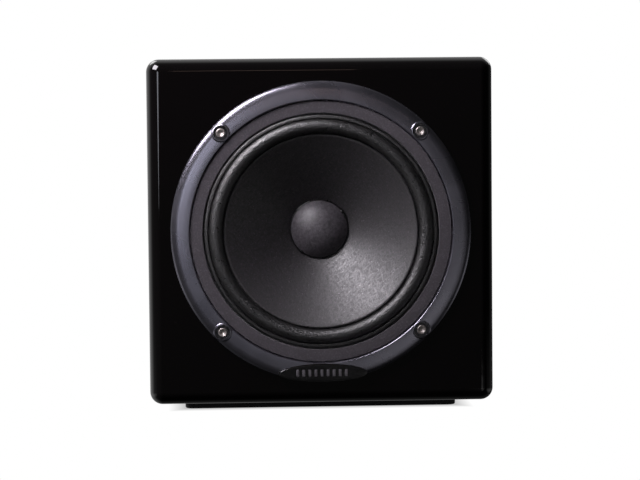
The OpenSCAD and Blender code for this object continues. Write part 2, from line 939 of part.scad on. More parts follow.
module fuse() {
    cap = [2.6, 5];
    length = 20;
    color("lightcyan") from_rear() translate([fuse_place[0], fuse_place[1], plate_face - 1.4 - length]) {
        disc(cap[0], 0, cap[1]);
        disc(cap[0] - 0.15, 0, length);
        disc(cap[0], length - cap[1], length);
    }
}

module input_socket() {
    color("#1a1a1c") from_rear() translate(socket_place) difference() {
        union() {
            rounded_plate(26, 31, 3, plate_face, plate_face + 2);
            disc(12.3, plate_face, plate_face + 4.5);
            disc(socket_barrel_radius, -15, plate_face + past);
        }
        disc(socket_bore_radius, -12, plate_face + 6);
        block([-4.2, 9, -8], [4.2, 13.6, plate_face + 6]);
        both_sides(socket_screw) disc(1.6, 0, plate_face + 4);
    }
}

// a plug-shaped core with a jack bore in the middle and three contact holes around it
module socket_core() {
    face = plate_face + 3.4;
    color("#26262a") from_rear() translate(socket_place) difference() {
        disc(core_radius, -12, face);
        disc(jack_radius, -11, face + past);
        around(3, 5.6, 90) disc(1.35, -8, face + past);
    }
}

module release_tab() {
    color("#8a8b8f") from_rear() translate(socket_place) {
        block([-3.8, 10, -4], [3.8, 11, plate_face + 6]);
        block([-3.8, 10, plate_face + 4.9], [3.8, 13.3, plate_face + 6.2]);
    }
}

module socket_screws() {
    color("silver") from_rear() translate(socket_place) both_sides(socket_screw)
        inwards(plate_face + 2) pan_screw(2.6, 1.5, 1.45, 8, 20);
}

module status_led() {
    bezel = plate_face + 0.6;
    color("crimson") from_rear() translate(led_place) {
        disc(led_radius, -3, bezel);
        disc(led_radius + 0.7, plate_face, bezel);
        intersection() {
            disc(led_radius, plate_face, plate_face + 4);
            translate([0, 0, bezel]) sphere(r = led_radius);
        }
    }
}

front_baffle();
rear_panel();
left_side();
right_side();
top_panel();
bottom_panel();
wall_wadding();
base_pad();
stand_insert();
stand_insert_screws();
baffle_inserts();
trim_ring();
badge();
driver_screws();
driver_seal();
basket();
front_gasket();
surround();
cone();
dust_cap();
coil_former();
coil_winding();
spider();
top_plate();
magnet();
pole_yoke();
bucking_magnet();
shield_can();
terminal_strip();
terminal_tags();
tinsel_leads();
driver_wire_red();
driver_wire_black();
amp_plate();
amp_plate_seal();
amp_plate_screws();
heat_sink();
amp_board();
board_standoffs();
output_transistors();
filter_capacitors();
transformer_core();
transformer_winding();
level_pot();
pot_nut();
pot_shaft();
level_knob();
switch_housing();
power_rocker();
mains_inlet();
inlet_pins();
inlet_screws();
fuse_holder();
fuse_cap();
fuse();
input_socket();
socket_core();
release_tab();
socket_screws();
status_led();
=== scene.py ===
"""The looks of a self-powered cube loudspeaker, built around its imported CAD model.

Blender works in metres, in the CAD model's frame: +Z is up and the driver faces -Y.
Sizes are written in millimetres and scaled as a piece is it.
"""

import json
import random
from math import atan2, cos, exp, hypot, pi, radians, sin, sqrt, tan

import bmesh
import bpy
from mathutils import Matrix, Quaternion, Vector, noise

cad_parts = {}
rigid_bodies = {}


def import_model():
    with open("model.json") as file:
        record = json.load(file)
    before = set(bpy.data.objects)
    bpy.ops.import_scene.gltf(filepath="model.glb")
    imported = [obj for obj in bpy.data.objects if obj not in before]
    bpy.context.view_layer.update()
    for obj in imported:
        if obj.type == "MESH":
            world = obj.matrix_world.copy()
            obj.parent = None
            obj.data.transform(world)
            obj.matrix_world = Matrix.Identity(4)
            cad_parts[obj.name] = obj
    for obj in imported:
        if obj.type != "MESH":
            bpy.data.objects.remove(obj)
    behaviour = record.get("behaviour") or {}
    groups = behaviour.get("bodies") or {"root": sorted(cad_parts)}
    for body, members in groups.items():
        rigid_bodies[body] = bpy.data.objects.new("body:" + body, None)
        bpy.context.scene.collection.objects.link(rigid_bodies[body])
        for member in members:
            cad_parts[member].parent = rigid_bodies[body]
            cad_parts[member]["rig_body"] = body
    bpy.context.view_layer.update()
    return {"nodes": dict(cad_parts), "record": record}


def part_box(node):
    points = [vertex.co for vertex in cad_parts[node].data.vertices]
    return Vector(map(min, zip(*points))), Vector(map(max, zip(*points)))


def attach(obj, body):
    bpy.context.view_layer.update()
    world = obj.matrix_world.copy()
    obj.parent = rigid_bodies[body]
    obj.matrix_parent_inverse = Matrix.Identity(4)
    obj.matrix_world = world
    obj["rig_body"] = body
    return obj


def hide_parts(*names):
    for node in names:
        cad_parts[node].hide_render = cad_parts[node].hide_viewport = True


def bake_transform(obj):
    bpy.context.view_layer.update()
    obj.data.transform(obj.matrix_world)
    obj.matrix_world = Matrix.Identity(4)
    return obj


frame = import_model()

MM = 0.001
TAU = 2 * pi

# ---- places, from the CAD model ----

baffle_low, baffle_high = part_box("front_baffle")
FRONT = baffle_low.y
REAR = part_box("rear_panel")[1].y
HALF = (baffle_high.x - baffle_low.x) / 2
AXIS_Z = (baffle_low.z + baffle_high.z) / 2
MIDDLE_Y = (FRONT + REAR) / 2

# local x to the right, y down and z back from the baffle's face, along the driver's axis
FROM_FRONT = Matrix(((MM, 0, 0, 0), (0, 0, MM, FRONT), (0, -MM, 0, AXIS_Z), (0, 0, 0, 1)))
# local x to the right as seen from behind, y up and z out from the cabinet's rear face
FROM_REAR = Matrix(((-MM, 0, 0, 0), (0, 0, MM, REAR), (0, MM, 0, AXIS_Z), (0, 0, 0, 1)))
# local z up from the surface that the object stands on
FROM_FLOOR = Matrix(((MM, 0, 0, 0), (0, MM, 0, MIDDLE_Y), (0, 0, MM, 0), (0, 0, 0, 1)))


# ---- materials ----

def tone(code):
    """A linear colour from a hex code."""
    channels = [int(code[i:i + 2], 16) / 255 for i in (1, 3, 5)]
    linear = [c / 12.92 if c <= 0.04045 else ((c + 0.055) / 1.055) ** 2.4 for c in channels]
    return (*linear, 1)


class Nodes:
    """Adds nodes to a tree."""

    def __init__(self, tree):
        self.tree = tree

    def add(self, kind, inputs=None, **settings):
        """A new node. Its inputs are values or other nodes' outputs."""
        node = self.tree.nodes.new("ShaderNode" + kind)
        for name, value in settings.items():
            setattr(node, name, value)
        for socket, value in (inputs or {}).items():
            if isinstance(value, bpy.types.NodeSocket):
                self.tree.links.new(value, node.inputs[socket])
            else:
                node.inputs[socket].default_value = value
        return node

    def maths(self, operation, a, b=0, c=0):
        return self.add("Math", {0: a, 1: b, 2: c}, operation=operation).outputs[0]

    def span(self, value, low, high, to_low=0, to_high=1):
        """The value's range from low to high, moved to another range and held inside it."""
        inputs = {0: value, 1: low, 2: high, 3: to_low, 4: to_high}
        return self.add("MapRange", inputs).outputs[0]


MATERIALS = {}


class Finish(Nodes):
    """A node material whose textures follow the piece, in metres."""

    def __init__(self, name, rough=0.5, **sockets):
        self.material = bpy.data.materials.new(name)
        self.material.use_nodes = True
        MATERIALS[name] = self.material
        super().__init__(self.material.node_tree)
        self.shader = self.tree.nodes["Principled BSDF"]
        self.height = None
        self.shader.inputs["Roughness"].default_value = rough
        for socket, value in sockets.items():
            self.shader.inputs[socket.replace("_", " ")].default_value = value
        self.place = self.add("TexCoord").outputs["Object"]

    def stretched(self, scale, turn=(0, 0, 0)):
        """The place, turned and then scaled along each axis."""
        turned = self.add("Mapping", {"Vector": self.place, "Rotation": turn})
        return self.add("Mapping", {"Vector": turned.outputs[0], "Scale": scale}).outputs[0]

    def polar(self, across, around, along):
        """Radius, angle and depth about the driver's axis, each at its own scale."""
        apart = self.add("VectorMath", {0: self.place, 1: (0, 0, AXIS_Z)}, operation="SUBTRACT")
        x, y, z = self.add("SeparateXYZ", {0: apart.outputs[0]}).outputs
        squares = self.maths("ADD", self.maths("MULTIPLY", x, x), self.maths("MULTIPLY", z, z))
        radius = self.maths("SQRT", squares)
        angle = self.maths("ARCTAN2", z, x)
        parts = (self.maths("MULTIPLY", radius, across), self.maths("MULTIPLY", angle, around),
                 self.maths("MULTIPLY", y, along))
        return self.add("CombineXYZ", dict(enumerate(parts))).outputs[0]

    def noise(self, scale, detail=3, place=None, twist=0, rough=0.5):
        place = place or self.place
        inputs = {"Vector": place, "Scale": scale, "Detail": detail, "Distortion": twist, "Roughness": rough}
        return self.add("TexNoise", inputs).outputs[0]

    def cells(self, scale, jitter=1):
        inputs = {"Vector": self.place, "Scale": scale, "Randomness": jitter}
        return self.add("TexVoronoi", inputs).outputs["Distance"]

    def waves(self, scale, axis="X", profile="SIN", twist=0, turn=(0, 0, 0)):
        """Bands across an axis of the turned place."""
        inputs = {"Vector": self.stretched([scale] * 3, turn), "Scale": 1, "Distortion": twist}
        return self.add("TexWave", inputs, bands_direction=axis, wave_profile=profile).outputs[1]

    def mixed(self, factor, first, second):
        """A blend of two colours, each a hex code or another node's output."""
        first, second = (tone(c) if isinstance(c, str) else c for c in (first, second))
        node = self.add("Mix", {0: factor, 6: first, 7: second}, data_type="RGBA")
        return node.outputs[2]

    def colour(self, factor, first, second):
        self.tree.links.new(self.mixed(factor, first, second), self.shader.inputs["Base Color"])

    def roughness(self, value, smooth, dull, low=0.3, high=0.7):
        self.tree.links.new(self.span(value, low, high, smooth, dull), self.shader.inputs["Roughness"])

    def bump(self, height, depth, coat=False):
        """Raises the surface by depth in mm where height is 1."""
        inputs = {"Height": height, "Distance": depth * MM, "Strength": 1}
        if self.height:
            inputs["Normal"] = self.height
        self.height = self.add("Bump", inputs).outputs[0]
        self.tree.links.new(self.height, self.shader.inputs["Normal"])
        if coat:
            self.tree.links.new(self.height, self.shader.inputs["Coat Normal"])


def surface(name, dark, light, rough, spread=0.08, mottle=60, grain=1500, depth=0.01,
            stretch=(1, 1, 1), **sockets):
    """A finish with cloudy colour, and with a fine grain in its roughness and its relief."""
    it = Finish(name, rough, **sockets)
    clouds = it.noise(mottle)
    fine = it.noise(grain, 4, it.stretched(stretch))
    share = it.span(it.maths("ADD", clouds, it.maths("MULTIPLY", fine, 0.6)), 0.5, 1.1)
    it.colour(share, dark, light)
    it.roughness(it.maths("ADD", fine, clouds), rough - spread, rough + spread, 0.7, 1.3)
    it.bump(fine, depth)


def lacquer():
    """Piano-black lacquer: a clear coat with a trace of orange peel over a black base."""
    it = Finish("black_lacquer", 0.3, Coat_Weight=1, Coat_Roughness=0.035, Coat_IOR=1.5,
                Specular_IOR_Level=0)
    cloud = it.noise(25)
    dust = it.span(it.noise(900, 1), 0.74, 0.82)
    base = it.mixed(cloud, "#020101", "#040203")
    it.colour(dust, base, "#0d0a0b")
    it.roughness(cloud, 0.24, 0.36)
    it.bump(it.noise(140, 1), 0.012, coat=True)


def gunmetal():
    """Dark polished metal, with faint turning marks around the ring and a few soft smears."""
    it = Finish("gunmetal_trim", 0.2, Metallic=1)
    marks = it.noise(1, 3, it.polar(5000, 3, 5000))
    smears = it.noise(45, twist=0.6)
    it.colour(smears, "#787680", "#8d8b95")
    it.roughness(smears, 0.25, 0.31)
    it.bump(marks, 0.0003)


def gasket_felt():
    """Matte compressed fibre board."""
    it = Finish("gasket_felt", 0.9, Sheen_Weight=0.15, Sheen_Roughness=0.6)
    fibre = it.noise(1300, 6, rough=0.7)
    cloud = it.noise(110)
    base = it.mixed(cloud, "#2b272c", "#373338")
    it.colour(it.span(fibre, 0.5, 0.7), base, "#544e55")
    it.roughness(fibre, 0.8, 0.95)
    it.bump(it.noise(320), 0.1)
    it.bump(fibre, 0.2)


def surround_rubber():
    """Black foam rubber with a fine pebbled skin that glitters along the crest of the roll."""
    it = Finish("surround_rubber", 0.42, Specular_IOR_Level=1.05)
    pebbles = it.cells(1300)
    streaks = it.noise(1, 3, it.polar(420, 62, 420))
    fine = it.noise(1200)
    it.colour(it.noise(90), "#020202", "#060506")
    it.roughness(it.maths("ADD", fine, streaks), 0.27, 0.58, 0.75, 1.2)
    it.bump(streaks, 0.08)
    it.bump(pebbles, 0.03)
    it.bump(fine, 0.35)


def cone_paper():
    """Pressed paper pulp: charcoal, with pale fibres and a satin dressing."""
    it = Finish("cone_paper", 0.45, Specular_IOR_Level=1)
    long_fibres = it.noise(1, 2, it.stretched((420, 900, 1700), (0.3, 0.7, 0.2)), 0.8)
    cross_fibres = it.noise(1, 2, it.stretched((1700, 900, 420), (0.1, 0.5, 0.6)), 0.8)
    fibres = it.maths("MAXIMUM", long_fibres, cross_fibres)
    specks = it.span(it.noise(1300), 0.62, 0.72)
    cloud = it.noise(55, 4)
    base = it.mixed(cloud, "#060506", "#0d0b0d")
    woven = it.mixed(it.span(fibres, 0.48, 0.66), base, "#262226")
    it.colour(specks, woven, "#4e494e")
    it.roughness(fibres, 0.64, 0.44, 0.4, 0.68)
    it.bump(it.noise(420), 0.04)
    it.bump(fibres, 0.07)


def cap_paper():
    """The dust cap's closer, smoother paper."""
    it = Finish("cap_paper", 0.45, Specular_IOR_Level=0.8)
    fine = it.noise(1500, 4, rough=0.7)
    cloud = it.noise(700, 4)
    mottle = it.span(it.maths("ADD", fine, cloud), 0.75, 1.25)
    it.colour(mottle, "#1d1b1e", "#504b51")
    it.roughness(fine, 0.44, 0.6, 0.35, 0.65)
    it.bump(cloud, 0.03)
    it.bump(fine, 0.06)


def spider_cloth():
    """Woven cotton stiffened with amber resin."""
    it = Finish("spider_cloth", 0.75, Sheen_Weight=0.2)
    warp = it.waves(560, "X")
    weft = it.waves(560, "Z")
    weave = it.maths("MULTIPLY", warp, weft)
    base = it.mixed(it.noise(90), "#a8702a", "#c99146")
    it.colour(weave, base, "#e0b878")
    it.roughness(weave, 0.7, 0.9, 0, 1)
    it.bump(weave, 0.12)


def coil_wire():
    """Fine enamelled copper wire in close turns along the axis."""
    it = Finish("coil_wire", 0.3, Metallic=1)
    turns = it.waves(1500, "Y")
    base = it.mixed(it.noise(200), "#9a4a22", "#c26a35")
    it.colour(turns, "#4a1f10", base)
    it.roughness(turns, 0.5, 0.28, 0, 1)
    it.bump(turns, 0.12)


def braided(name, dark, light, metallic):
    """Fine strands laid slantwise around a lead."""
    it = Finish(name, 0.35, Metallic=metallic)
    one = it.waves(900, "DIAGONAL", turn=(0.6, 0.4, 0.2))
    other = it.waves(900, "DIAGONAL", turn=(-0.6, 0.4, 1.3))
    strands = it.maths("MAXIMUM", one, other)
    it.colour(strands, dark, light)
    it.roughness(strands, 0.6, 0.3, 0, 1)
    it.bump(strands, 0.15)


def laminations(name, dark, light, axis):
    """Thin steel sheets stacked along an axis."""
    it = Finish(name, 0.45, Metallic=0.8)
    sheets = it.waves(620, axis)
    cloud = it.noise(70)
    it.colour(sheets, dark, it.mixed(cloud, light, dark))
    it.roughness(cloud, 0.38, 0.55)
    it.bump(sheets, 0.1)


def wound_tape():
    """Overlapping turns of yellow tape."""
    it = Finish("winding_tape", 0.35, Coat_Weight=0.3)
    turns = it.waves(130, "Y", "SAW")
    cloud = it.noise(90)
    base = it.mixed(cloud, "#b8901f", "#d8b240")
    it.colour(it.span(turns, 0, 0.15), "#7d5f12", base)
    it.roughness(cloud, 0.3, 0.45)
    it.bump(turns, 0.08)


def circuit_board():
    """Green solder mask over copper tracks, with tinned pads."""
    it = Finish("board_fibreglass", 0.35, Coat_Weight=0.4, Coat_Roughness=0.2)
    tracks = it.waves(330, "DIAGONAL", twist=6)
    track = it.span(tracks, 0.55, 0.6)
    pads = it.span(it.cells(260, jitter=0.35), 0.2, 0.16)
    base = it.mixed(track, "#0f3a1d", "#1a5a2c")
    it.colour(pads, base, "#b9bcbd")
    it.roughness(it.noise(500, 2), 0.28, 0.42)
    it.bump(track, 0.05)
    it.bump(pads, 0.08)


def wool():
    """Loose pale polyester fibre."""
    it = Finish("wadding", 0.95, Sheen_Weight=0.6, Sheen_Roughness=0.5)
    tufts = it.noise(160, 6, twist=1.5, rough=0.7)
    strands = it.noise(1, 4, it.stretched((500, 2600, 500), (0.5, 0.3, 0.9)), 1)
    it.colour(tufts, "#a9a69f", "#dedbd4")
    it.roughness(strands, 0.85, 1)
    it.bump(tufts, 0.8)
    it.bump(strands, 0.25)


def glassy(name, dark, light, clear, mottle, grain, smooth, dull, **sockets):
    """Tinted plastic or glass, clear by a share and between two roughnesses."""
    it = Finish(name, smooth, Transmission_Weight=clear, IOR=1.5, **sockets)
    cloud = it.noise(mottle, 2)
    it.colour(cloud, dark, light)
    it.roughness(cloud, smooth, dull)
    it.bump(it.noise(grain, 2), 0.004)


def sink_anodised():
    """Black anodised aluminium with fine lines along the extrusion."""
    it = Finish("sink_anodised", 0.42, Metallic=0.55)
    lines = it.noise(1, 3, it.stretched((5200, 5200, 60)))
    cloud = it.noise(45)
    base = it.mixed(cloud, "#1b1b1e", "#2a2a2d")
    it.colour(it.span(lines, 0.5, 0.8), base, "#3c3c40")
    it.roughness(it.maths("ADD", lines, cloud), 0.34, 0.5, 0.7, 1.3)
    it.bump(lines, 0.012)


def plate_paint():
    """Fine textured black powder coat."""
    it = Finish("plate_paint", 0.55)
    grit = it.cells(1500)
    fine = it.noise(900)
    cloud = it.noise(35)
    base = it.mixed(cloud, "#171719", "#212123")
    it.colour(it.span(fine, 0.55, 0.8), base, "#303033")
    it.roughness(fine, 0.46, 0.64)
    it.bump(grit, 0.035)
    it.bump(fine, 0.03)


for plain in bpy.data.materials:
    plain.name = "cad_" + plain.name

for finish in (lacquer, gunmetal, gasket_felt, surround_rubber, cone_paper, cap_paper, spider_cloth,
               coil_wire, wound_tape, circuit_board, wool, sink_anodised, plate_paint):
    finish()
braided("lead_braid", "#6d5122", "#d2b06c", 1)
laminations("core_laminations", "#26262a", "#54545a", "Y")
glassy("led_red", "#5a0a0a", "#8a1712", 0.35, 300, 700, 0.08, 0.2, Coat_Weight=1, Coat_Roughness=0.03)
glassy("fuse_glass", "#b9c4c2", "#dfe6e4", 0.5, 150, 600, 0.05, 0.18)
surface("pad_rubber", "#0d0d0e", "#191919", 0.75, grain=1100, depth=0.05)
surface("zinc_steel", "#8d9094", "#b9bbbd", 0.32, mottle=140, depth=0.006, Metallic=1)
surface("brass", "#8a6224", "#c39a4d", 0.3, mottle=160, depth=0.006, Metallic=1)
surface("gloss_badge", "#060606", "#0d0c0d", 0.14, 0.04, 90, 700, 0.003, Coat_Weight=1)
surface("screw_steel", "#a39c99", "#cdc5c0", 0.42, mottle=500, grain=2500, depth=0.004, Metallic=1)
surface("seal_foam", "#141415", "#222223", 0.9, grain=2200, depth=0.12)
surface("basket_steel", "#1d1d20", "#2e2e32", 0.5, grain=1300, depth=0.03, Metallic=0.4)
surface("former_film", "#8a6a3c", "#c9a76c", 0.35, mottle=220, depth=0.005, Metallic=0.3)
surface("plated_iron", "#9b9a90", "#bdbcb4", 0.3, mottle=90, depth=0.006, Metallic=1)
surface("ferrite", "#1a1a1b", "#2d2d2e", 0.7, mottle=200, grain=1700, depth=0.03)
surface("strip_phenolic", "#4a2a14", "#7a4a26", 0.45, mottle=120, depth=0.01, stretch=(1, 6, 1))
surface("wire_red", "#6d0f0d", "#97201a", 0.4, mottle=300, depth=0.006)
surface("wire_black", "#0b0b0c", "#1c1c1e", 0.4, mottle=300, depth=0.006)
surface("black_screw", "#121214", "#26262a", 0.38, mottle=400, depth=0.008, Metallic=0.7)
surface("chip_epoxy", "#131315", "#232326", 0.6, grain=2500, depth=0.015)
surface("cap_sleeve", "#101f4d", "#1e3473", 0.3, mottle=120, depth=0.004, Coat_Weight=0.4)
surface("pot_metal", "#77787b", "#a3a4a6", 0.4, mottle=180, depth=0.008, Metallic=1)
surface("knob_plastic", "#111113", "#1c1c1f", 0.42, mottle=200, grain=2200, depth=0.012)
surface("switch_nylon", "#0f0f11", "#1b1b1e", 0.5, mottle=160, grain=2400, depth=0.012)
surface("rocker_gloss", "#0a0a0b", "#141416", 0.22, 0.06, 120, 1500, 0.004, Coat_Weight=0.3)
surface("socket_nylon", "#101012", "#1d1d20", 0.48, mottle=160, grain=2400, depth=0.012)
surface("contact_metal", "#93938d", "#c4c3bb", 0.25, mottle=300, depth=0.004, Metallic=1)
surface("tab_metal", "#7d7e82", "#a7a8ab", 0.3, mottle=300, depth=0.004, Metallic=1)
surface("legend_paint", "#a9a9a4", "#cfcfca", 0.6, mottle=400, depth=0.004)
surface("badge_ink", "#59565a", "#747075", 0.35, mottle=500, depth=0.003, Metallic=0.6)
surface("cap_glue", "#030303", "#080708", 0.3, 0.05, 400, 900, 0.01)

# every CAD node starts with the finish of its own slot; most of those in sight are then replaced
SLOT_OF = {row["node"]: row["material_slot"] for row in frame["record"]["subparts"]}
for node_name, slot_name in SLOT_OF.items():
    frame["nodes"][node_name].data.materials[0] = MATERIALS[slot_name]


# ---- making pieces ----

def linked(name, data):
    """A new object in the scene."""
    obj = bpy.data.objects.new(name, data)
    bpy.context.scene.collection.objects.link(obj)
    return obj


def mesh_of(bm, name):
    """A mesh that uses bm up."""
    mesh = bpy.data.meshes.new(name)
    bm.to_mesh(mesh)
    bm.free()
    return mesh


def evaluated_mesh(obj):
    """What an object's modifiers or its text make of it."""
    return bpy.data.meshes.new_from_object(obj.evaluated_get(bpy.context.evaluated_depsgraph_get()))


def make(name, bm, slot, replaces=(), place=FROM_FRONT, body="cabinet", sharp=32, even=False, paint=None):
    """A piece from a mesh in local millimetres. even keeps its flats flat beside rounded edges."""
    bmesh.ops.recalc_face_normals(bm, faces=bm.faces)
    bm.transform(place)
    mesh = mesh_of(bm, name)
    mesh.shade_smooth()
    mesh.set_sharp_from_angle(angle=radians(sharp))
    mesh.materials.append(MATERIALS[paint or slot])
    obj = linked(name, mesh)
    if even:
        obj.modifiers.new("even", "WEIGHTED_NORMAL").keep_sharp = True
        weighted = evaluated_mesh(obj)
        obj.modifiers.clear()
        obj.data = weighted
    if replaces:
        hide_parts(*replaces)
    if body:
        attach(obj, body)
    return obj


def temporary(bm):
    """An object for a Boolean, from a closed mesh."""
    bmesh.ops.recalc_face_normals(bm, faces=bm.faces)
    return linked("temporary", mesh_of(bm, "temporary"))


def carved(bm, *cutters):
    """bm less the space of each cutter."""
    solid = temporary(bm)
    tools = [temporary(cutter) for cutter in cutters]
    for tool in tools:
        modifier = solid.modifiers.new("cut", "BOOLEAN")
        modifier.operation, modifier.solver, modifier.object = "DIFFERENCE", "EXACT", tool
    result = bmesh.new()
    result.from_object(solid, bpy.context.evaluated_depsgraph_get())
    for spare in (solid, *tools):
        bpy.data.objects.remove(spare)
    return result


def moved(bm, offset=(0, 0, 0), turn=0.0):
    """bm turned about local z by degrees and then moved."""
    bm.transform(Matrix.Translation(offset) @ Matrix.Rotation(radians(turn), 4, "Z"))
    return bm


def joined(*parts):
    """One mesh of several."""
    whole = bmesh.new()
    for part in parts:
        mesh = mesh_of(part, "part")
        whole.from_mesh(mesh)
        bpy.data.meshes.remove(mesh)
    return whole


def softened(points, radius, steps=4, least=25.0, closed=True):
    """An outline with its corners sharper than least degrees rounded off."""
    made = []
    count = len(points)
    for i, point in enumerate(points):
        here = Vector(point)
        if not closed and i in (0, count - 1):
            made.append(here)
            continue
        back = Vector(points[i - 1]) - here
        ahead = Vector(points[(i + 1) % count]) - here
        bend = pi - back.angle(ahead)
        if bend < radians(least):
            made.append(here)
            continue
        reach = min(radius * tan(bend / 2), 0.45 * back.length, 0.45 * ahead.length)
        start, end = here + back.normalized() * reach, here + ahead.normalized() * reach
        for k in range(steps + 1):
            t = k / steps
            made.append(start * (1 - t) ** 2 + here * 2 * t * (1 - t) + end * t * t)
    return made


def lathe(profile, segments=192, closed=True, shape=None):
    """Turns an outline of (radius, z) about local z. shape moves a point by its angle."""
    bm = bmesh.new()
    count = len(profile)
    poles = {k: bm.verts.new((0, 0, p[1])) for k, p in enumerate(profile) if abs(p[0]) < 1e-6}
    rings = []
    for i in range(segments):
        angle = TAU * i / segments
        ring = []
        for k, (radius, z) in enumerate(profile):
            if k in poles:
                ring.append(poles[k])
                continue
            if shape:
                radius, z = shape(angle, radius, z)
            ring.append(bm.verts.new((radius * cos(angle), radius * sin(angle), z)))
        rings.append(ring)
    for i, ring in enumerate(rings):
        after = rings[(i + 1) % segments]
        for k in range(count if closed else count - 1):
            j = (k + 1) % count
            corners = dict.fromkeys((ring[k], ring[j], after[j], after[k]))
            if len(corners) > 2:
                bm.faces.new(corners)
    return bm


def disc(radius, start, end, segments):
    """A round bar from one z to another."""
    return lathe([(0, start), (radius, start), (radius, end), (0, end)], segments, closed=False)


def prism(outline, start, end, other=None):
    """An outline of (x, y) at one level, joined to itself or to another at the next."""
    bm = bmesh.new()
    low = [bm.verts.new((*p, start)) for p in outline]
    high = [bm.verts.new((*p, end)) for p in other or outline]
    bm.faces.new(low)
    bm.faces.new(high)
    for i in range(len(low)):
        j = (i + 1) % len(low)
        bm.faces.new((low[i], low[j], high[j], high[i]))
    return bm


def rounded_outline(width, height, radius, steps=10):
    points = []
    for corner, (sx, sy) in enumerate(((1, 1), (-1, 1), (-1, -1), (1, -1))):
        for k in range(steps + 1):
            angle = (corner + k / steps) * TAU / 4
            points.append((sx * (width / 2 - radius) + radius * cos(angle),
                           sy * (height / 2 - radius) + radius * sin(angle)))
    return points


def eased(bm, width, least=30.0, steps=2):
    """Rounds every edge sharper than least degrees by width."""
    bmesh.ops.recalc_face_normals(bm, faces=bm.faces)
    limit = radians(least)
    edges = [e for e in bm.edges if len(e.link_faces) == 2 and e.calc_face_angle(0) > limit]
    bmesh.ops.bevel(bm, geom=edges, offset=width, segments=steps, profile=0.5,
                    affect="EDGES", clamp_overlap=True)
    return bm


def refined(node, width, name, steps=2):
    """A CAD node's own shape as a new piece, its hard edges rounded by width in millimetres."""
    obj = frame["nodes"][node]
    bm = bmesh.new()
    bm.from_mesh(obj.data)
    bmesh.ops.remove_doubles(bm, verts=bm.verts, dist=0.002 * MM)
    bmesh.ops.dissolve_limit(bm, angle_limit=radians(0.5), verts=bm.verts, edges=bm.edges)
    eased(bm, width * MM, steps=steps)
    return make(name, bm, SLOT_OF[node], (node,), Matrix.Identity(4), obj["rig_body"], even=True)


def set_normals(obj, ideal, flat=False):
    """Gives a piece the exact normals of its ideal surface, wherever a face lies on that surface."""
    mesh = obj.data
    normals = [Vector(c.vector) for c in mesh.corner_normals]
    for polygon in mesh.polygons:
        for loop in polygon.loop_indices:
            exact = ideal(mesh.vertices[mesh.loops[loop].vertex_index].co)
            if exact and exact.dot(polygon.normal) > 0.93:
                normals[loop] = exact
            elif flat:
                normals[loop] = polygon.normal.copy()
    mesh.normals_split_custom_set(normals)


def blend_radially(obj):
    """Bakes a ring-shaped piece's placement into its mesh."""
    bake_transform(obj)


# ---- cabinet ----

EDGE_RADIUS = 6
WALL = 15
BAFFLE = 18
SIDE = 2 * HALF / MM
LOW = baffle_low.z / MM
INNER = SIDE / 2 - WALL
LACQUER_LOW = Vector((-HALF, FRONT, baffle_low.z))
LACQUER_HIGH = Vector((HALF, REAR, baffle_high.z))


def lacquer_normal(point):
    """The normal of the cabinet's rounded outside at a point on it, or None inside it."""
    reach = EDGE_RADIUS * MM
    core = Vector([min(max(point[i], LACQUER_LOW[i] + reach), LACQUER_HIGH[i] - reach) for i in range(3)])
    out = point - core
    return out.normalized() if abs(out.length - reach) < 0.03 * MM else None


def panel(low, high):
    """The part of the rounded cabinet block between two corners, in world millimetres."""
    bm = bmesh.new()
    bmesh.ops.create_cube(bm, size=SIDE)
    bmesh.ops.bevel(bm, geom=bm.edges[:], offset=EDGE_RADIUS, segments=14, profile=0.5, affect="EDGES")
    bm.transform(Matrix.Translation((0, MIDDLE_Y / MM, LOW + SIDE / 2)))
    for axis in range(3):
        for level, sign in ((low[axis], -1), (high[axis], 1)):
            if level is None:
                continue
            place, normal = Vector((0, 0, 0)), Vector((0, 0, 0))
            place[axis], normal[axis] = level, sign
            cut = bmesh.ops.bisect_plane(bm, geom=bm.verts[:] + bm.edges[:] + bm.faces[:],
                                         plane_co=place, plane_no=normal, clear_outer=True, dist=1e-5)
            rim = [e for e in cut["geom_cut"] if isinstance(e, bmesh.types.BMEdge)]
            bmesh.ops.edgeloop_fill(bm, edges=rim)
    return bm


def in_world(bm, frame_place):
    """A cutter from a local frame, in world millimetres."""
    bm.transform(Matrix.Scale(1 / MM, 4) @ frame_place)
    return bm


def add_panel(name, node, low, high, *cutters):
    bm = panel(low, high)
    if cutters:
        bm = carved(bm, *cutters)
    obj = make(name, bm, "black_lacquer", (node,), Matrix.Scale(MM, 4))
    set_normals(obj, lacquer_normal, flat=True)


SCREW_CIRCLE = 134.3 / 2
SCREW_ANGLES = (45, 135, 225, 315)
PLATE_REACH = 64.5
PLATE_SCREWS = [(u * PLATE_REACH, v * PLATE_REACH) for u in (-1, 0, 1) for v in (-1, 0, 1) if u or v]


def on_circle(radius, degrees):
    return Vector((radius * cos(radians(degrees)), radius * sin(radians(degrees)), 0))


# the driver's rebate and cut-out, the amplifier plate's opening, and how far a cutter reaches past a face
REBATE_RADIUS = 70.4
REBATE_DEPTH = 4.2
CUT_OUT_RADIUS = 62.2
OPENING = 118
PAST = 5
ANY = (None, None, None)


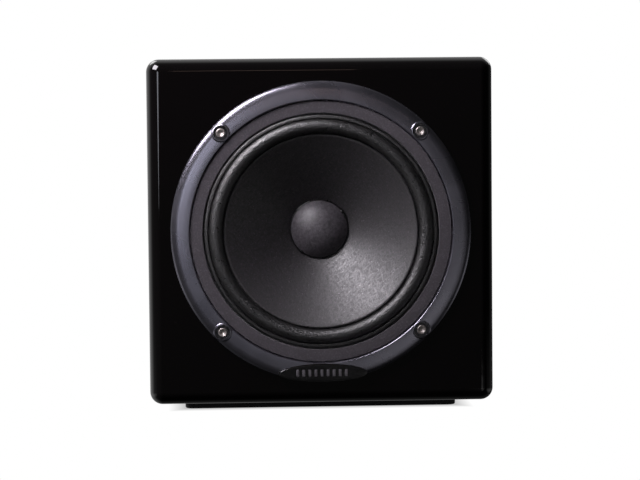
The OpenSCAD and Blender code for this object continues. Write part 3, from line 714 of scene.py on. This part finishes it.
def add_cabinet():
    top = LOW + SIDE
    front = FRONT / MM + BAFFLE
    back = REAR / MM - WALL
    through = BAFFLE + 7
    steps = [(0, -PAST), (REBATE_RADIUS, -PAST), (REBATE_RADIUS, REBATE_DEPTH),
             (CUT_OUT_RADIUS, REBATE_DEPTH), (CUT_OUT_RADIUS, through), (0, through)]
    driver_hole = lathe(steps, 192, False)
    pockets = [moved(disc(3.2, -PAST, through, 48), on_circle(SCREW_CIRCLE, a)) for a in SCREW_ANGLES]
    add_panel("baffle_lacquered", "front_baffle", ANY, (None, front, None),
              *(in_world(cutter, FROM_FRONT) for cutter in (driver_hole, *pockets)))
    opening = in_world(prism(rounded_outline(OPENING, OPENING, 6), -WALL - PAST, PAST), FROM_REAR)
    pilots = [in_world(moved(disc(1.75, -13, 5, 32), (*p, 0)), FROM_REAR) for p in PLATE_SCREWS]
    add_panel("rear_lacquered", "rear_panel", (None, back, None), ANY, opening, *pilots)
    add_panel("left_lacquered", "left_side", (None, front, None), (-INNER, back, None))
    add_panel("right_lacquered", "right_side", (INNER, front, None), (None, back, None))
    add_panel("top_lacquered", "top_panel", (-INNER, front, top - WALL), (INNER, back, None))
    well = in_world(disc(10, 0, 40, 96), FROM_FLOOR)
    holes = [in_world(moved(disc(1.2, 0, 13, 24), on_circle(14, a)), FROM_FLOOR) for a in (90, 210, 330)]
    add_panel("bottom_lacquered", "bottom_panel", (-INNER, front, None), (INNER, back, LOW + WALL),
              well, *holes)


# ---- base ----

def add_base():
    refined("base_pad", 0.7, "pad_moulded", steps=4)
    refined("stand_insert", 0.3, "insert_turned")


# ---- driver, from the front ----

RING_OUTER = 71.75
RING_INNER = 62.4
RING_HEIGHT = 3.2
RING_BEAD = RING_OUTER - 0.2
RING_CREST = RING_INNER + 0.15


def crown(share):
    """How far the trim ring stands in front of the baffle, across its width from 0 to 1."""
    share = min(max(share, 0.0), 1.0)
    lip = 0.95 * max(1 - share / 0.07, 0.0) ** 2 + 0.14 * max(1 - share / 0.4, 0.0) ** 2
    rounding = 1 - sqrt(max(1 - max((share - 0.56) / 0.44, 0.0) ** 2, 0.0))
    return RING_HEIGHT - lip - 0.55 * share - 1.25 * rounding


def crown_share(radius):
    return (radius - RING_CREST) / (RING_BEAD - RING_CREST)


def ring_normal(point):
    """The normal of the ring's crown at a point on it, or None off it."""
    out = Vector((point.x, 0, point.z - AXIS_Z))
    share = crown_share(out.length / MM)
    if not 0.03 < share < 0.985 or point.y > FRONT - 1.2 * MM:
        return None
    slope = (crown(share + 0.004) - crown(share - 0.004)) / (0.008 * (RING_BEAD - RING_CREST))
    return (out.normalized() * -slope + Vector((0, -1, 0))).normalized()


RECESS_FLOOR = -0.6
RECESS_RADIUS = 3.65


def screw_well():
    """Cuts a screw's recess and its clearance hole."""
    hole = 2.15
    return lathe([(0, 3), (hole, 3), (hole, RECESS_FLOOR), (RECESS_RADIUS, RECESS_FLOOR),
                  (RECESS_RADIUS, -6), (0, -6)], 96, False)


# the low boss round each screw's recess: radii, with heights over the ring's crown, far below it at the foot
BURIED = -5
BOSS_FOOT = 1.2
BOSS_OUTLINE = [(3.66, BURIED), (3.66, 0.34), (3.82, 0.335), (3.98, 0.3), (4.16, 0.23), (4.32, 0.15),
                (4.46, 0.06), (4.56, -0.04), (4.56, BURIED)]


def screw_boss(degrees):
    """A rounded boss round a screw's recess, which follows the fall of the ring's crown."""
    centre = on_circle(SCREW_CIRCLE, degrees)

    def on_crown(angle, radius, lift):
        point = centre + Vector((radius * cos(angle), radius * sin(angle), 0))
        return radius, -max(crown(crown_share(point.length)) + lift, BOSS_FOOT)

    return moved(lathe(BOSS_OUTLINE, 96, shape=on_crown), centre)


def add_screw_bosses():
    """The bosses, and a thin dark disc on the floor of each recess as painted shade, darkening the floor
    where the recess walls shade it.
    """
    bosses = [screw_boss(a) for a in SCREW_ANGLES]
    make("screw_bosses", joined(*bosses), "gunmetal_trim", sharp=50)
    # painted shade: a dark rubber disc laid on each recess floor round the screw head
    outline = [(2.4, -0.55), (2.4, -0.72), (3.62, -0.72), (3.62, -0.55)]
    shade_discs = [moved(lathe(outline, 96), on_circle(SCREW_CIRCLE, a)) for a in SCREW_ANGLES]
    make("screw_recess_painted_shade", joined(*shade_discs), "surround_rubber")


BADGE_LENGTH = 42.6
BADGE_HEIGHT = 8.8
BADGE_POCKET = -1.6
BAR_COUNT = 9
BAR_PITCH = 2.9
BADGE_DROP = SCREW_CIRCLE + 0.3


def oval(length, height, steps=96):
    return [(length / 2 * cos(TAU * i / steps), height / 2 * sin(TAU * i / steps) + BADGE_DROP)
            for i in range(steps)]


def add_trim_ring():
    steps = 60
    shares = [0.5 - 0.5 * cos(pi * i / steps) for i in range(steps + 1)]
    bead = [(RING_CREST + (RING_BEAD - RING_CREST) * share, -crown(share)) for share in shares]
    foot = [(RING_BEAD, -0.5), (RING_OUTER - 0.15, -0.5), (RING_OUTER, -0.35), (RING_OUTER, 0)]
    inner = [(RING_INNER, 0), (RING_INNER, -1.6), (RING_INNER + 0.05, -1.8)]
    ring = lathe([*inner, *bead, *foot], 512)
    wells = [moved(screw_well(), on_circle(SCREW_CIRCLE, a)) for a in SCREW_ANGLES]
    pocket = prism(oval(BADGE_LENGTH, BADGE_HEIGHT), -6, BADGE_POCKET)
    ring = carved(ring, *wells, pocket)
    obj = make("trim_ring_polished", ring, "gunmetal_trim", ("trim_ring",), sharp=28)
    set_normals(obj, ring_normal)


def cross_cutter(reach, arm, depth, top):
    """A cross-shaped driver recess that narrows towards its floor."""
    def outline(r, a):
        return [(r, -a), (r, a), (a, a), (a, r), (-a, r), (-a, a), (-r, a), (-r, -a),
                (-a, -a), (-a, -r), (a, -r), (a, -a)]
    mouth = outline(reach * 1.15, arm * 1.1)
    floor = outline(reach * 0.42, arm * 0.62)
    return prism(mouth, top - 1, top + depth, floor)


def pan_screw(head, height, shank, length, turn):
    """A pan-head cross-recessed screw: its head stands in front of z = 0 and its shank behind."""
    profile = [(0, -height), (head * 0.27, -height), (head * 0.55, -height * 0.965),
               (head * 0.75, -height * 0.87), (head * 0.89, -height * 0.7), (head * 0.97, -height * 0.46),
               (head, -height * 0.2), (head, 0), (shank, 0), (shank, length - 1), (shank * 0.4, length),
               (0, length)]
    screw = lathe(profile, 64, False)
    recess = cross_cutter(head * 0.56, head * 0.15, height * 0.75, -height)
    return moved(carved(screw, recess), turn=turn)


def driver_screw(turn):
    """A cross-recessed screw whose round head has a dished middle."""
    dome = [(0, -1.75), (0.3, -1.75), (1.75, -2.4), (2.15, -2.25), (2.3, -0.6)]
    button = softened(dome, 0.4, 5, closed=False)
    shank = [(2.3, 0), (1.95, 0), (1.95, 15), (0.8, 16), (0, 16)]
    recess = cross_cutter(1.05, 0.24, 0.65, -2.1)
    return moved(carved(lathe([*button, *shank], 72, False), recess), turn=turn)


def add_driver_screws():
    screws = []
    for angle, turn in zip(SCREW_ANGLES, (18, 64, 33, 7)):
        place = on_circle(SCREW_CIRCLE, angle) + Vector((0, 0, RECESS_FLOOR))
        screws.append(moved(driver_screw(turn), place))
    make("driver_screws_cross", joined(*screws), "screw_steel", ("driver_screws",))


def add_badge():
    """A glossy oval plaque on a lower step, with a row of plain raised bars for its legend."""
    front, step, rim = -4, -3.4, 0.7
    base = eased(prism(oval(BADGE_LENGTH, BADGE_HEIGHT), BADGE_POCKET, step), 0.18, 60)
    plaque = prism(oval(BADGE_LENGTH - 2 * rim, BADGE_HEIGHT - 2 * rim), step, front + 0.08)
    plaque = eased(plaque, 0.25, 60, 3)
    make("badge_plaque", joined(base, plaque), "gloss_badge", ("badge",), even=True)
    bars = []
    for i in range(BAR_COUNT):
        bar = prism(rounded_outline(1.3, 3.4, 0.3, 4), front + 0.2, front)
        moved(bar, (BAR_PITCH * i - 12, BADGE_DROP, 0))
        bars.append(eased(bar, 0.07, 60))
    make("badge_bars", joined(*bars), "gloss_badge", paint="badge_ink")


def add_gasket():
    profile = softened([(56.5, 1.4), (56.5, -1.9), (62.25, -1.9), (62.25, 1.4)], 0.3, 4)
    make("gasket_fibre", lathe(profile, 256), "gasket_felt", ("front_gasket",))


ROLL_RADIUS = 50.4
ROLL_BEND = 3.4
ROLL_DEPTH = 0.2
LIP_DEPTH = 1.4


def arc(centre, radius, start, end, steps):
    angles = [radians(start + (end - start) * i / steps) for i in range(steps + 1)]
    return [(centre[0] + radius * cos(a), centre[1] + radius * sin(a)) for a in angles]


def add_surround():
    """One half roll between two flat lips, with a round shoulder outside it."""
    middle = (ROLL_RADIUS, ROLL_DEPTH)
    outside = arc(middle, ROLL_BEND, -19, -180, 32)
    inside = arc(middle, ROLL_BEND - 0.6, -180, 0, 36)
    shoulder = arc((54.9, -0.75), 0.95, 0, -85, 10)
    profile = [(61.5, 2), (61.5, LIP_DEPTH), (55.85, LIP_DEPTH), *shoulder, (54.3, -1.74), *outside,
               (46.9, 0.9), (46.6, 1.15), (45.5, 1.2), (43.8, LIP_DEPTH), (43.8, 2), (47.6, 2), *inside,
               (53.2, 0.2), (55.2, 0.2), (55.2, 2)]
    obj = make("surround_roll", lathe(profile, 288), "surround_rubber", ("surround",), body=None, sharp=50)
    blend_radially(obj)


NECK_RADIUS = 13.25
CONE_LIP = 45.8


def cone_front(radius):
    """The depth of the cone's front at a radius."""
    return 0.1 + 20.4 * ((CONE_LIP - radius) / (CONE_LIP - NECK_RADIUS)) ** 1.04


def add_cone():
    steps = 40
    radii = [CONE_LIP + (NECK_RADIUS - CONE_LIP) * i / steps for i in range(steps + 1)]
    lip = softened([(46.1, 1.15), (46.1, 0.1), (CONE_LIP + 0.05, 0.1)], 0.3, 4, closed=False)
    front = [(r, cone_front(r)) for r in radii]
    neck = [(NECK_RADIUS, 23), (NECK_RADIUS + 0.9, 23)]
    back = [(r, cone_front(r) + 1) for r in reversed(radii[1:-1])]
    profile = [*lip, *front, *neck, *back]
    make("cone_pressed", lathe(profile, 256), "cone_paper", ("cone",), body="moving_cone", sharp=40)


CAP_EDGE = 13.8
CAP_HEIGHT = 6.2


def add_dust_cap():
    """A shallow dome, and the bead of black glue that holds it."""
    rim = cone_front(CAP_EDGE) - 0.1
    ball = (CAP_EDGE ** 2 + CAP_HEIGHT ** 2) / (2 * CAP_HEIGHT)
    top = rim - 1 - CAP_HEIGHT
    steps = 28
    radii = [CAP_EDGE * sin(pi / 2 * i / steps) for i in range(steps + 1)]
    outside = [(r, top + ball - sqrt(ball ** 2 - r ** 2)) for r in radii]
    skin = 0.6
    within = [0.955 * r for r in reversed(radii)]
    inside = [(r, top + ball - sqrt((ball - skin) ** 2 - r ** 2)) for r in within]
    profile = [*outside, (CAP_EDGE, rim), (CAP_EDGE - skin, rim), *inside]
    cap = lathe(profile, 160, False)
    make("cap_domed", cap, "cap_paper", ("dust_cap",), body="moving_cone", sharp=60)
    draw = random.Random(4)
    blobs = [(draw.uniform(0, TAU), draw.uniform(0.1, 0.3), draw.uniform(0.05, 0.12)) for _ in range(9)]
    blobs += [(radians(129), 0.5, 0.09), (radians(-37), 0.5, 0.05)]

    def lumpy(angle, radius, z):
        swell = 0.0
        for place, size, width in blobs:
            apart = (angle - place + pi) % TAU - pi
            swell += size * exp(-(apart / width) ** 2)
        out, up = radius - CAP_EDGE, z - rim
        return CAP_EDGE + out * (1 + swell), rim + up * (1 + swell * 0.8)

    bead = arc((CAP_EDGE - 0.1, rim - 0.45), 0.72, 0, 330, 11)
    glue = lathe(bead, 240, shape=lumpy)
    make("cap_glue", glue, "surround_rubber", body="moving_cone", paint="cap_glue")


def add_spider():
    """A corrugated cloth disc between the basket's ledge and the coil's former."""
    steps, waves, start, end, face = 120, 5, 14.6, 34, 26.4
    shares = [i / steps for i in range(steps + 1)]
    wave = [(start + (end - start) * share, face - 0.9 * sin(TAU * waves * share)) for share in shares]
    profile = [(13.3, face - 1.6), (13.8, face - 1.6), (13.8, face), *wave, (38, face), (38, face + 0.6),
               *[(r, z + 0.55) for r, z in reversed(wave)], (13.3, face + 0.55)]
    obj = make("spider_corrugated", lathe(profile, 144), "spider_cloth", ("spider",), body=None, sharp=60)
    blend_radially(obj)


def smooth_path(points, steps):
    """A Catmull-Rom curve through points."""
    points = [Vector(p) for p in points]
    last = len(points) - 1
    path = []
    for i in range(last):
        a, b, c, d = points[max(i - 1, 0)], points[i], points[i + 1], points[min(i + 2, last)]
        for k in range(steps):
            t = k / steps
            path.append(0.5 * (2 * b + (c - a) * t + (2 * a - 5 * b + 4 * c - d) * t * t
                               + (3 * b - a - 3 * c + d) * t ** 3))
    return [*path, points[last]]


def tube(path, radius, sides=12, ribs=0.0):
    """A round bar along a path, with its ends closed."""
    bm = bmesh.new()
    rings = []
    last = len(path) - 1
    side = Vector((1, 0.3, 0))
    for i, point in enumerate(path):
        heading = (path[min(i + 1, last)] - path[max(i - 1, 0)]).normalized()
        across = heading.cross(side).normalized()
        up = across.cross(heading)
        ring = []
        for k in range(sides):
            angle = TAU * k / sides
            swell = radius * (1 + ribs * sin(3 * angle + 1.3 * i))
            ring.append(bm.verts.new(point + (across * cos(angle) + up * sin(angle)) * swell))
        rings.append(ring)
    for one, other in zip(rings, rings[1:]):
        for k in range(sides):
            bm.faces.new((one[k], one[(k + 1) % sides], other[(k + 1) % sides], other[k]))
    bm.faces.new(rings[0])
    bm.faces.new(rings[-1])
    return bm


TINSEL_ROUTE = [(7, 47, 25), (11, 46.4, 22.6), (14, 43, 20), (14, 36, 19.4), (11, 30, 20), (8, 25, 16.4)]


def add_tinsel_leads():
    for side, name in ((1, "tinsel_right"), (-1, "tinsel_left")):
        route = [(side * x, y, z) for x, y, z in TINSEL_ROUTE]
        lead = tube(smooth_path(route, 10), 0.55, 12, 0.12)
        obj = make(name, lead, "lead_braid", ("tinsel_leads",), body=None, sharp=60)
        start = FROM_FRONT @ Vector(route[0])
        end = FROM_FRONT @ Vector(route[-1])
        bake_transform(obj)


# ---- rear ----

PLATE_FACE = 3.8
KNOB_PLACE = (-47, -24)
KNOB_GROOVE = 19
ROCKER_PLACE = (47, -17)
ROCKER_PIVOT = 3
WADDING = 7


def dial_point(step, radius):
    """A place on the plate at one of the dial's eleven steps, which go clockwise from the lower left."""
    angle = radians(90 + 150 - 30 * step)
    return Vector(KNOB_PLACE) + Vector((cos(angle), sin(angle))) * radius


def dial_number(text):
    """The mesh of a printed number, upright about its own middle."""
    curve = bpy.data.curves.new("dial_number", "FONT")
    curve.body = text
    curve.size = 2.8
    curve.extrude = 0.03
    curve.align_x = "CENTER"
    curve.align_y = "CENTER"
    obj = linked("dial_number", curve)
    number = bmesh.new()
    number.from_mesh(evaluated_mesh(obj))
    bpy.data.objects.remove(obj)
    bmesh.ops.remove_doubles(number, verts=number.verts, dist=1e-4)
    return number


def add_dial():
    """Eleven printed ticks round the level knob, with a number at each end and in the middle."""
    marks = []
    for step in range(11):
        long = 2.2 if step % 5 == 0 else 1.4
        near = dial_point(step, 13.4)
        far = dial_point(step, 13.4 + long)
        across = (far - near).orthogonal().normalized() * 0.2
        outline = [near - across, far - across, far + across, near + across]
        marks.append(prism(outline, PLATE_FACE - 0.02, PLATE_FACE + 0.05))
    make("dial_ticks", joined(*marks), "plate_paint", place=FROM_REAR, paint="legend_paint")
    for step in (0, 5, 10):
        number = moved(dial_number(str(step)), (*dial_point(step, 17.6), PLATE_FACE))
        make(f"dial_number_{step}", number, "plate_paint", place=FROM_REAR, paint="legend_paint")


def add_plate_screws():
    screws = []
    for i, place in enumerate(PLATE_SCREWS):
        screw = pan_screw(3.3, 2.1, 1.7, 14, 11 + 37 * i)
        screw.transform(Matrix.Translation((*place, PLATE_FACE)) @ Matrix.Rotation(pi, 4, "X"))
        screws.append(screw)
    make("plate_screws_cross", joined(*screws), "black_screw", ("amp_plate_screws",), FROM_REAR)


def add_pointer():
    """A painted line in the groove of the level knob."""
    x, y = KNOB_PLACE
    line = prism(rounded_outline(0.9, 4.6, 0.3, 4), KNOB_GROOVE - 0.02, KNOB_GROOVE + 0.1)
    moved(line, (x, y + 8.5, 0))
    make("knob_pointer", line, "knob_plastic", (), FROM_REAR, "level_knob", paint="legend_paint")


def add_rocker_marks():
    """A stroke and a circle, one on each half of the rocker's face."""
    stroke = prism(rounded_outline(0.7, 2.8, 0.3, 4), -0.02, 0.08)
    circle = lathe([(0.95, -0.02), (1.4, -0.02), (1.4, 0.08), (0.95, 0.08)], 48)
    slope = atan2(2, 8)
    reach = 4.6
    tilt = Matrix.Translation((*ROCKER_PLACE, ROCKER_PIVOT)) @ Matrix.Rotation(radians(9), 4, "X")
    for mark, side in ((stroke, 1), (circle, -1)):
        place = Matrix.Translation((0, side * reach, 3.4 + reach * tan(slope)))
        mark.transform(tilt @ place @ Matrix.Rotation(side * slope, 4, "X"))
    marks = joined(stroke, circle)
    make("rocker_marks", marks, "rocker_gloss", (), FROM_REAR, "power_rocker", paint="legend_paint")


def add_wadding():
    """Lumpy slabs of loose fibre against the inside of both sides and of the top."""
    low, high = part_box("wall_wadding")
    thick = Vector((WADDING * MM, 0, 0))
    under = Vector((0, 0, high.z - low.z - WADDING * MM))
    slabs = {
        "wadding_left": (low, Vector((low.x, high.y, high.z)) + thick),
        "wadding_right": (Vector((high.x, low.y, low.z)) - thick, high),
        "wadding_top": (low + 1.1 * thick + under, high - 1.1 * thick),
    }
    for seed, (name, (corner, far)) in enumerate(slabs.items()):
        bm = bmesh.new()
        bmesh.ops.create_cube(bm, size=2)
        bmesh.ops.subdivide_edges(bm, edges=bm.edges[:], cuts=17, use_grid_fill=True)
        half = (far - corner) / 2
        middle = (far + corner) / 2
        for vertex in bm.verts:
            unit = vertex.co.copy()
            pull = [1 - 0.16 * sum(abs(unit[k]) ** 6 for k in range(3) if k != axis) for axis in range(3)]
            place = Vector([unit[k] * half[k] for k in range(3)])
            lump = noise.noise(place * 55 + Vector((9 * seed, 0, 0)))
            swell = 0.93 + 0.07 * lump
            vertex.co = middle + Vector([place[k] * pull[k] * swell for k in range(3)])
        piece = make(name, bm, "wadding", ("wall_wadding",), Matrix.Identity(4), sharp=90)


# CAD nodes seen at the back: how far their edges are rounded, the new piece's name, the rounding's steps
REAR_NODES = (
    ("amp_plate", 0.35, "plate_coated"),
    ("heat_sink", 0.22, "sink_extruded"),
    ("switch_housing", 0.3, "rocker_frame"),
    ("power_rocker", 0.35, "rocker_key", 3),
    ("mains_inlet", 0.3, "inlet_moulded"),
    ("inlet_pins", 0.4, "inlet_blades"),
    ("fuse_holder", 0.25, "fuse_body"),
    ("fuse_cap", 0.2, "fuse_knob"),
    ("input_socket", 0.25, "socket_shell"),
    ("socket_core", 0.2, "socket_insert"),
    ("release_tab", 0.25, "socket_latch"),
    ("level_knob", 0.35, "knob_fluted", 3),
    ("inlet_screws", 0.12, "inlet_screws_cross"),
    ("socket_screws", 0.12, "socket_screws_cross"),
    ("status_led", 0.15, "lens_domed"),
)


def add_rear():
    for row in REAR_NODES:
        refined(*row)
    add_plate_screws()
    add_dial()
    add_pointer()
    add_rocker_marks()
    add_wadding()


add_cabinet()
add_base()
add_trim_ring()
add_screw_bosses()
add_driver_screws()
add_badge()
add_gasket()
add_surround()
add_cone()
add_dust_cap()
add_spider()
add_tinsel_leads()
add_rear()


# ---- studio ----

def add_floor():
    """A pale floor that fades into the white surroundings away from the object."""
    bm = lathe([(0, 0), (0.3, 0), (0.8, 0), (1.6, 0), (12, 0)], 96, closed=False)
    floor = linked("floor", mesh_of(bm, "floor"))
    floor.location.y = MIDDLE_Y
    it = Finish("floor", 0.8)
    x, y = it.add("SeparateXYZ", {0: it.place}).outputs[:2]
    reach = it.maths("MAXIMUM", it.maths("ABSOLUTE", x), it.maths("ABSOLUTE", y))
    far = it.span(reach, 0.056, 0.074)
    it.colour(it.noise(6, 2), "#e6e6e6", "#eaeaea")
    glow = it.add("Emission", {"Color": (1, 1, 1, 1), "Strength": 1.0})
    blend = it.add("MixShader", {0: far, 1: it.shader.outputs[0], 2: glow.outputs[0]})
    it.tree.links.new(blend.outputs[0], it.tree.nodes["Material Output"].inputs["Surface"])
    floor.data.materials.append(it.material)
    floor.visible_glossy = False
    floor.visible_diffuse = False


def add_light(name, direction, distance, width, height, radiance, colour=(1, 1, 1), roll=0.0):
    """A soft box that looks at the driver from a direction, with a given brightness."""
    target = Vector((0, FRONT, AXIS_Z))
    data = bpy.data.lights.new(name, "AREA")
    data.shape, data.size, data.size_y, data.color = "RECTANGLE", width, height, colour
    data.energy = radiance * pi * width * height
    light = linked(name, data)
    heading = Vector(direction).normalized()
    light.location = target + heading * distance
    level = heading.to_track_quat("Z", "Y")
    light.rotation_euler = (level @ Quaternion((0, 0, 1), radians(roll))).to_euler()
    light.visible_camera = False


def add_surroundings():
    """White where the camera looks. Reflections see a dim room, pale behind and on the key's side."""
    world = bpy.data.worlds.new("studio")
    bpy.context.scene.world = world
    world.use_nodes = True
    nodes = Nodes(world.node_tree)
    nodes.tree.nodes.clear()
    add, maths, span = nodes.add, nodes.maths, nodes.span
    heading = add("TexCoord").outputs["Generated"]
    x, y, z = add("SeparateXYZ", {0: heading}).outputs
    ramp = add("FloatCurve", {"Value": maths("MULTIPLY_ADD", y, 0.5, 0.5)})
    curve = ramp.mapping.curves[0]
    levels = ((0.0, 0.1), (0.3, 0.1), (0.42, 0.15), (0.47, 0.25), (0.56, 0.6), (0.7, 0.9), (1.0, 0.9))
    curve.points[0].location, curve.points[1].location = levels[0], levels[-1]
    for place, level in levels[1:-1]:
        curve.points.new(place, level)
    ramp.mapping.update()
    toward_key = add("VectorMath", {0: heading, 1: (-0.8, 0.0, 0.6)}, operation="DOT_PRODUCT")
    lit_side = span(toward_key.outputs["Value"], -0.5, 0.5, 0.08, 1.0)
    room = maths("MULTIPLY", ramp.outputs[0], lit_side)
    beside = span(maths("ABSOLUTE", x), 0.76, 0.92)
    below = span(z, -0.1, -0.36)
    sweep = maths("MULTIPLY", maths("MULTIPLY", beside, below), 0.55)
    outward = maths("SUBTRACT", x, z)
    low_card = span(outward, 0.285, 0.44, 2.6, 0.3)
    for limit in (span(outward, 0.26, 0.28), span(outward, 1.05, 0.75), span(x, 0.11, 0.15),
                  span(z, -0.12, -0.15), span(y, -0.8, -0.85)):
        low_card = maths("MULTIPLY", low_card, limit)
    strength = maths("ADD", maths("ADD", room, sweep), low_card)
    dim = add("Background", {"Color": (1, 1, 1, 1), "Strength": strength})
    white = add("Background", {"Color": (1, 1, 1, 1)})
    path = add("LightPath")
    shown = {0: path.outputs["Is Camera Ray"], 1: dim.outputs[0], 2: white.outputs[0]}
    add("OutputWorld", {"Surface": add("MixShader", shown).outputs[0]})


def add_camera():
    """A long lens a little above and to the left of the driver's axis."""
    azimuth, elevation, roll, distance = (radians(2.82), radians(3.88), radians(-0.504), 1.2)
    data = bpy.data.cameras.new("camera")
    data.lens, data.sensor_width = 141.5, 36.0
    data.shift_x, data.shift_y = -0.0019, -0.0134
    data.clip_start = 0.05
    camera = linked("camera", data)
    away = Vector((-sin(azimuth) * cos(elevation), -cos(azimuth) * cos(elevation), sin(elevation)))
    right = (-away).cross(Vector((0, 0, 1))).normalized()
    up = right.cross(-away)
    tilted = right * cos(roll) + up * sin(roll)
    upright = up * cos(roll) - right * sin(roll)
    turn = Matrix((tilted, upright, away)).transposed().to_4x4()
    camera.matrix_world = Matrix.Translation(Vector((0, FRONT, AXIS_Z)) + away * distance) @ turn
    bpy.context.scene.camera = camera


add_floor()
add_surroundings()
add_light("key", (-0.55, -0.43, 0.7), 0.4, 0.213, 0.213, 19.5, (1.0, 0.95, 1.02))
add_light("key_spill", (-0.2, -1.0, 0.05), 3.0, 0.6, 0.42, 4.2, (0.92, 0.94, 1.04), 25)
add_light("warm_card", (0.0, -1.0, 0.2), 1.0, 0.16, 0.035, 1.8, (1.0, 0.7, 0.58))
add_light("rear_left", (-0.8, 1.0, 1.3), 1.5, 0.7, 0.7, 5.0)
add_light("rear_right", (1.0, 1.2, 0.9), 1.5, 0.7, 0.7, 3.0)
add_camera()
bpy.context.scene.view_settings.view_transform = "Standard"
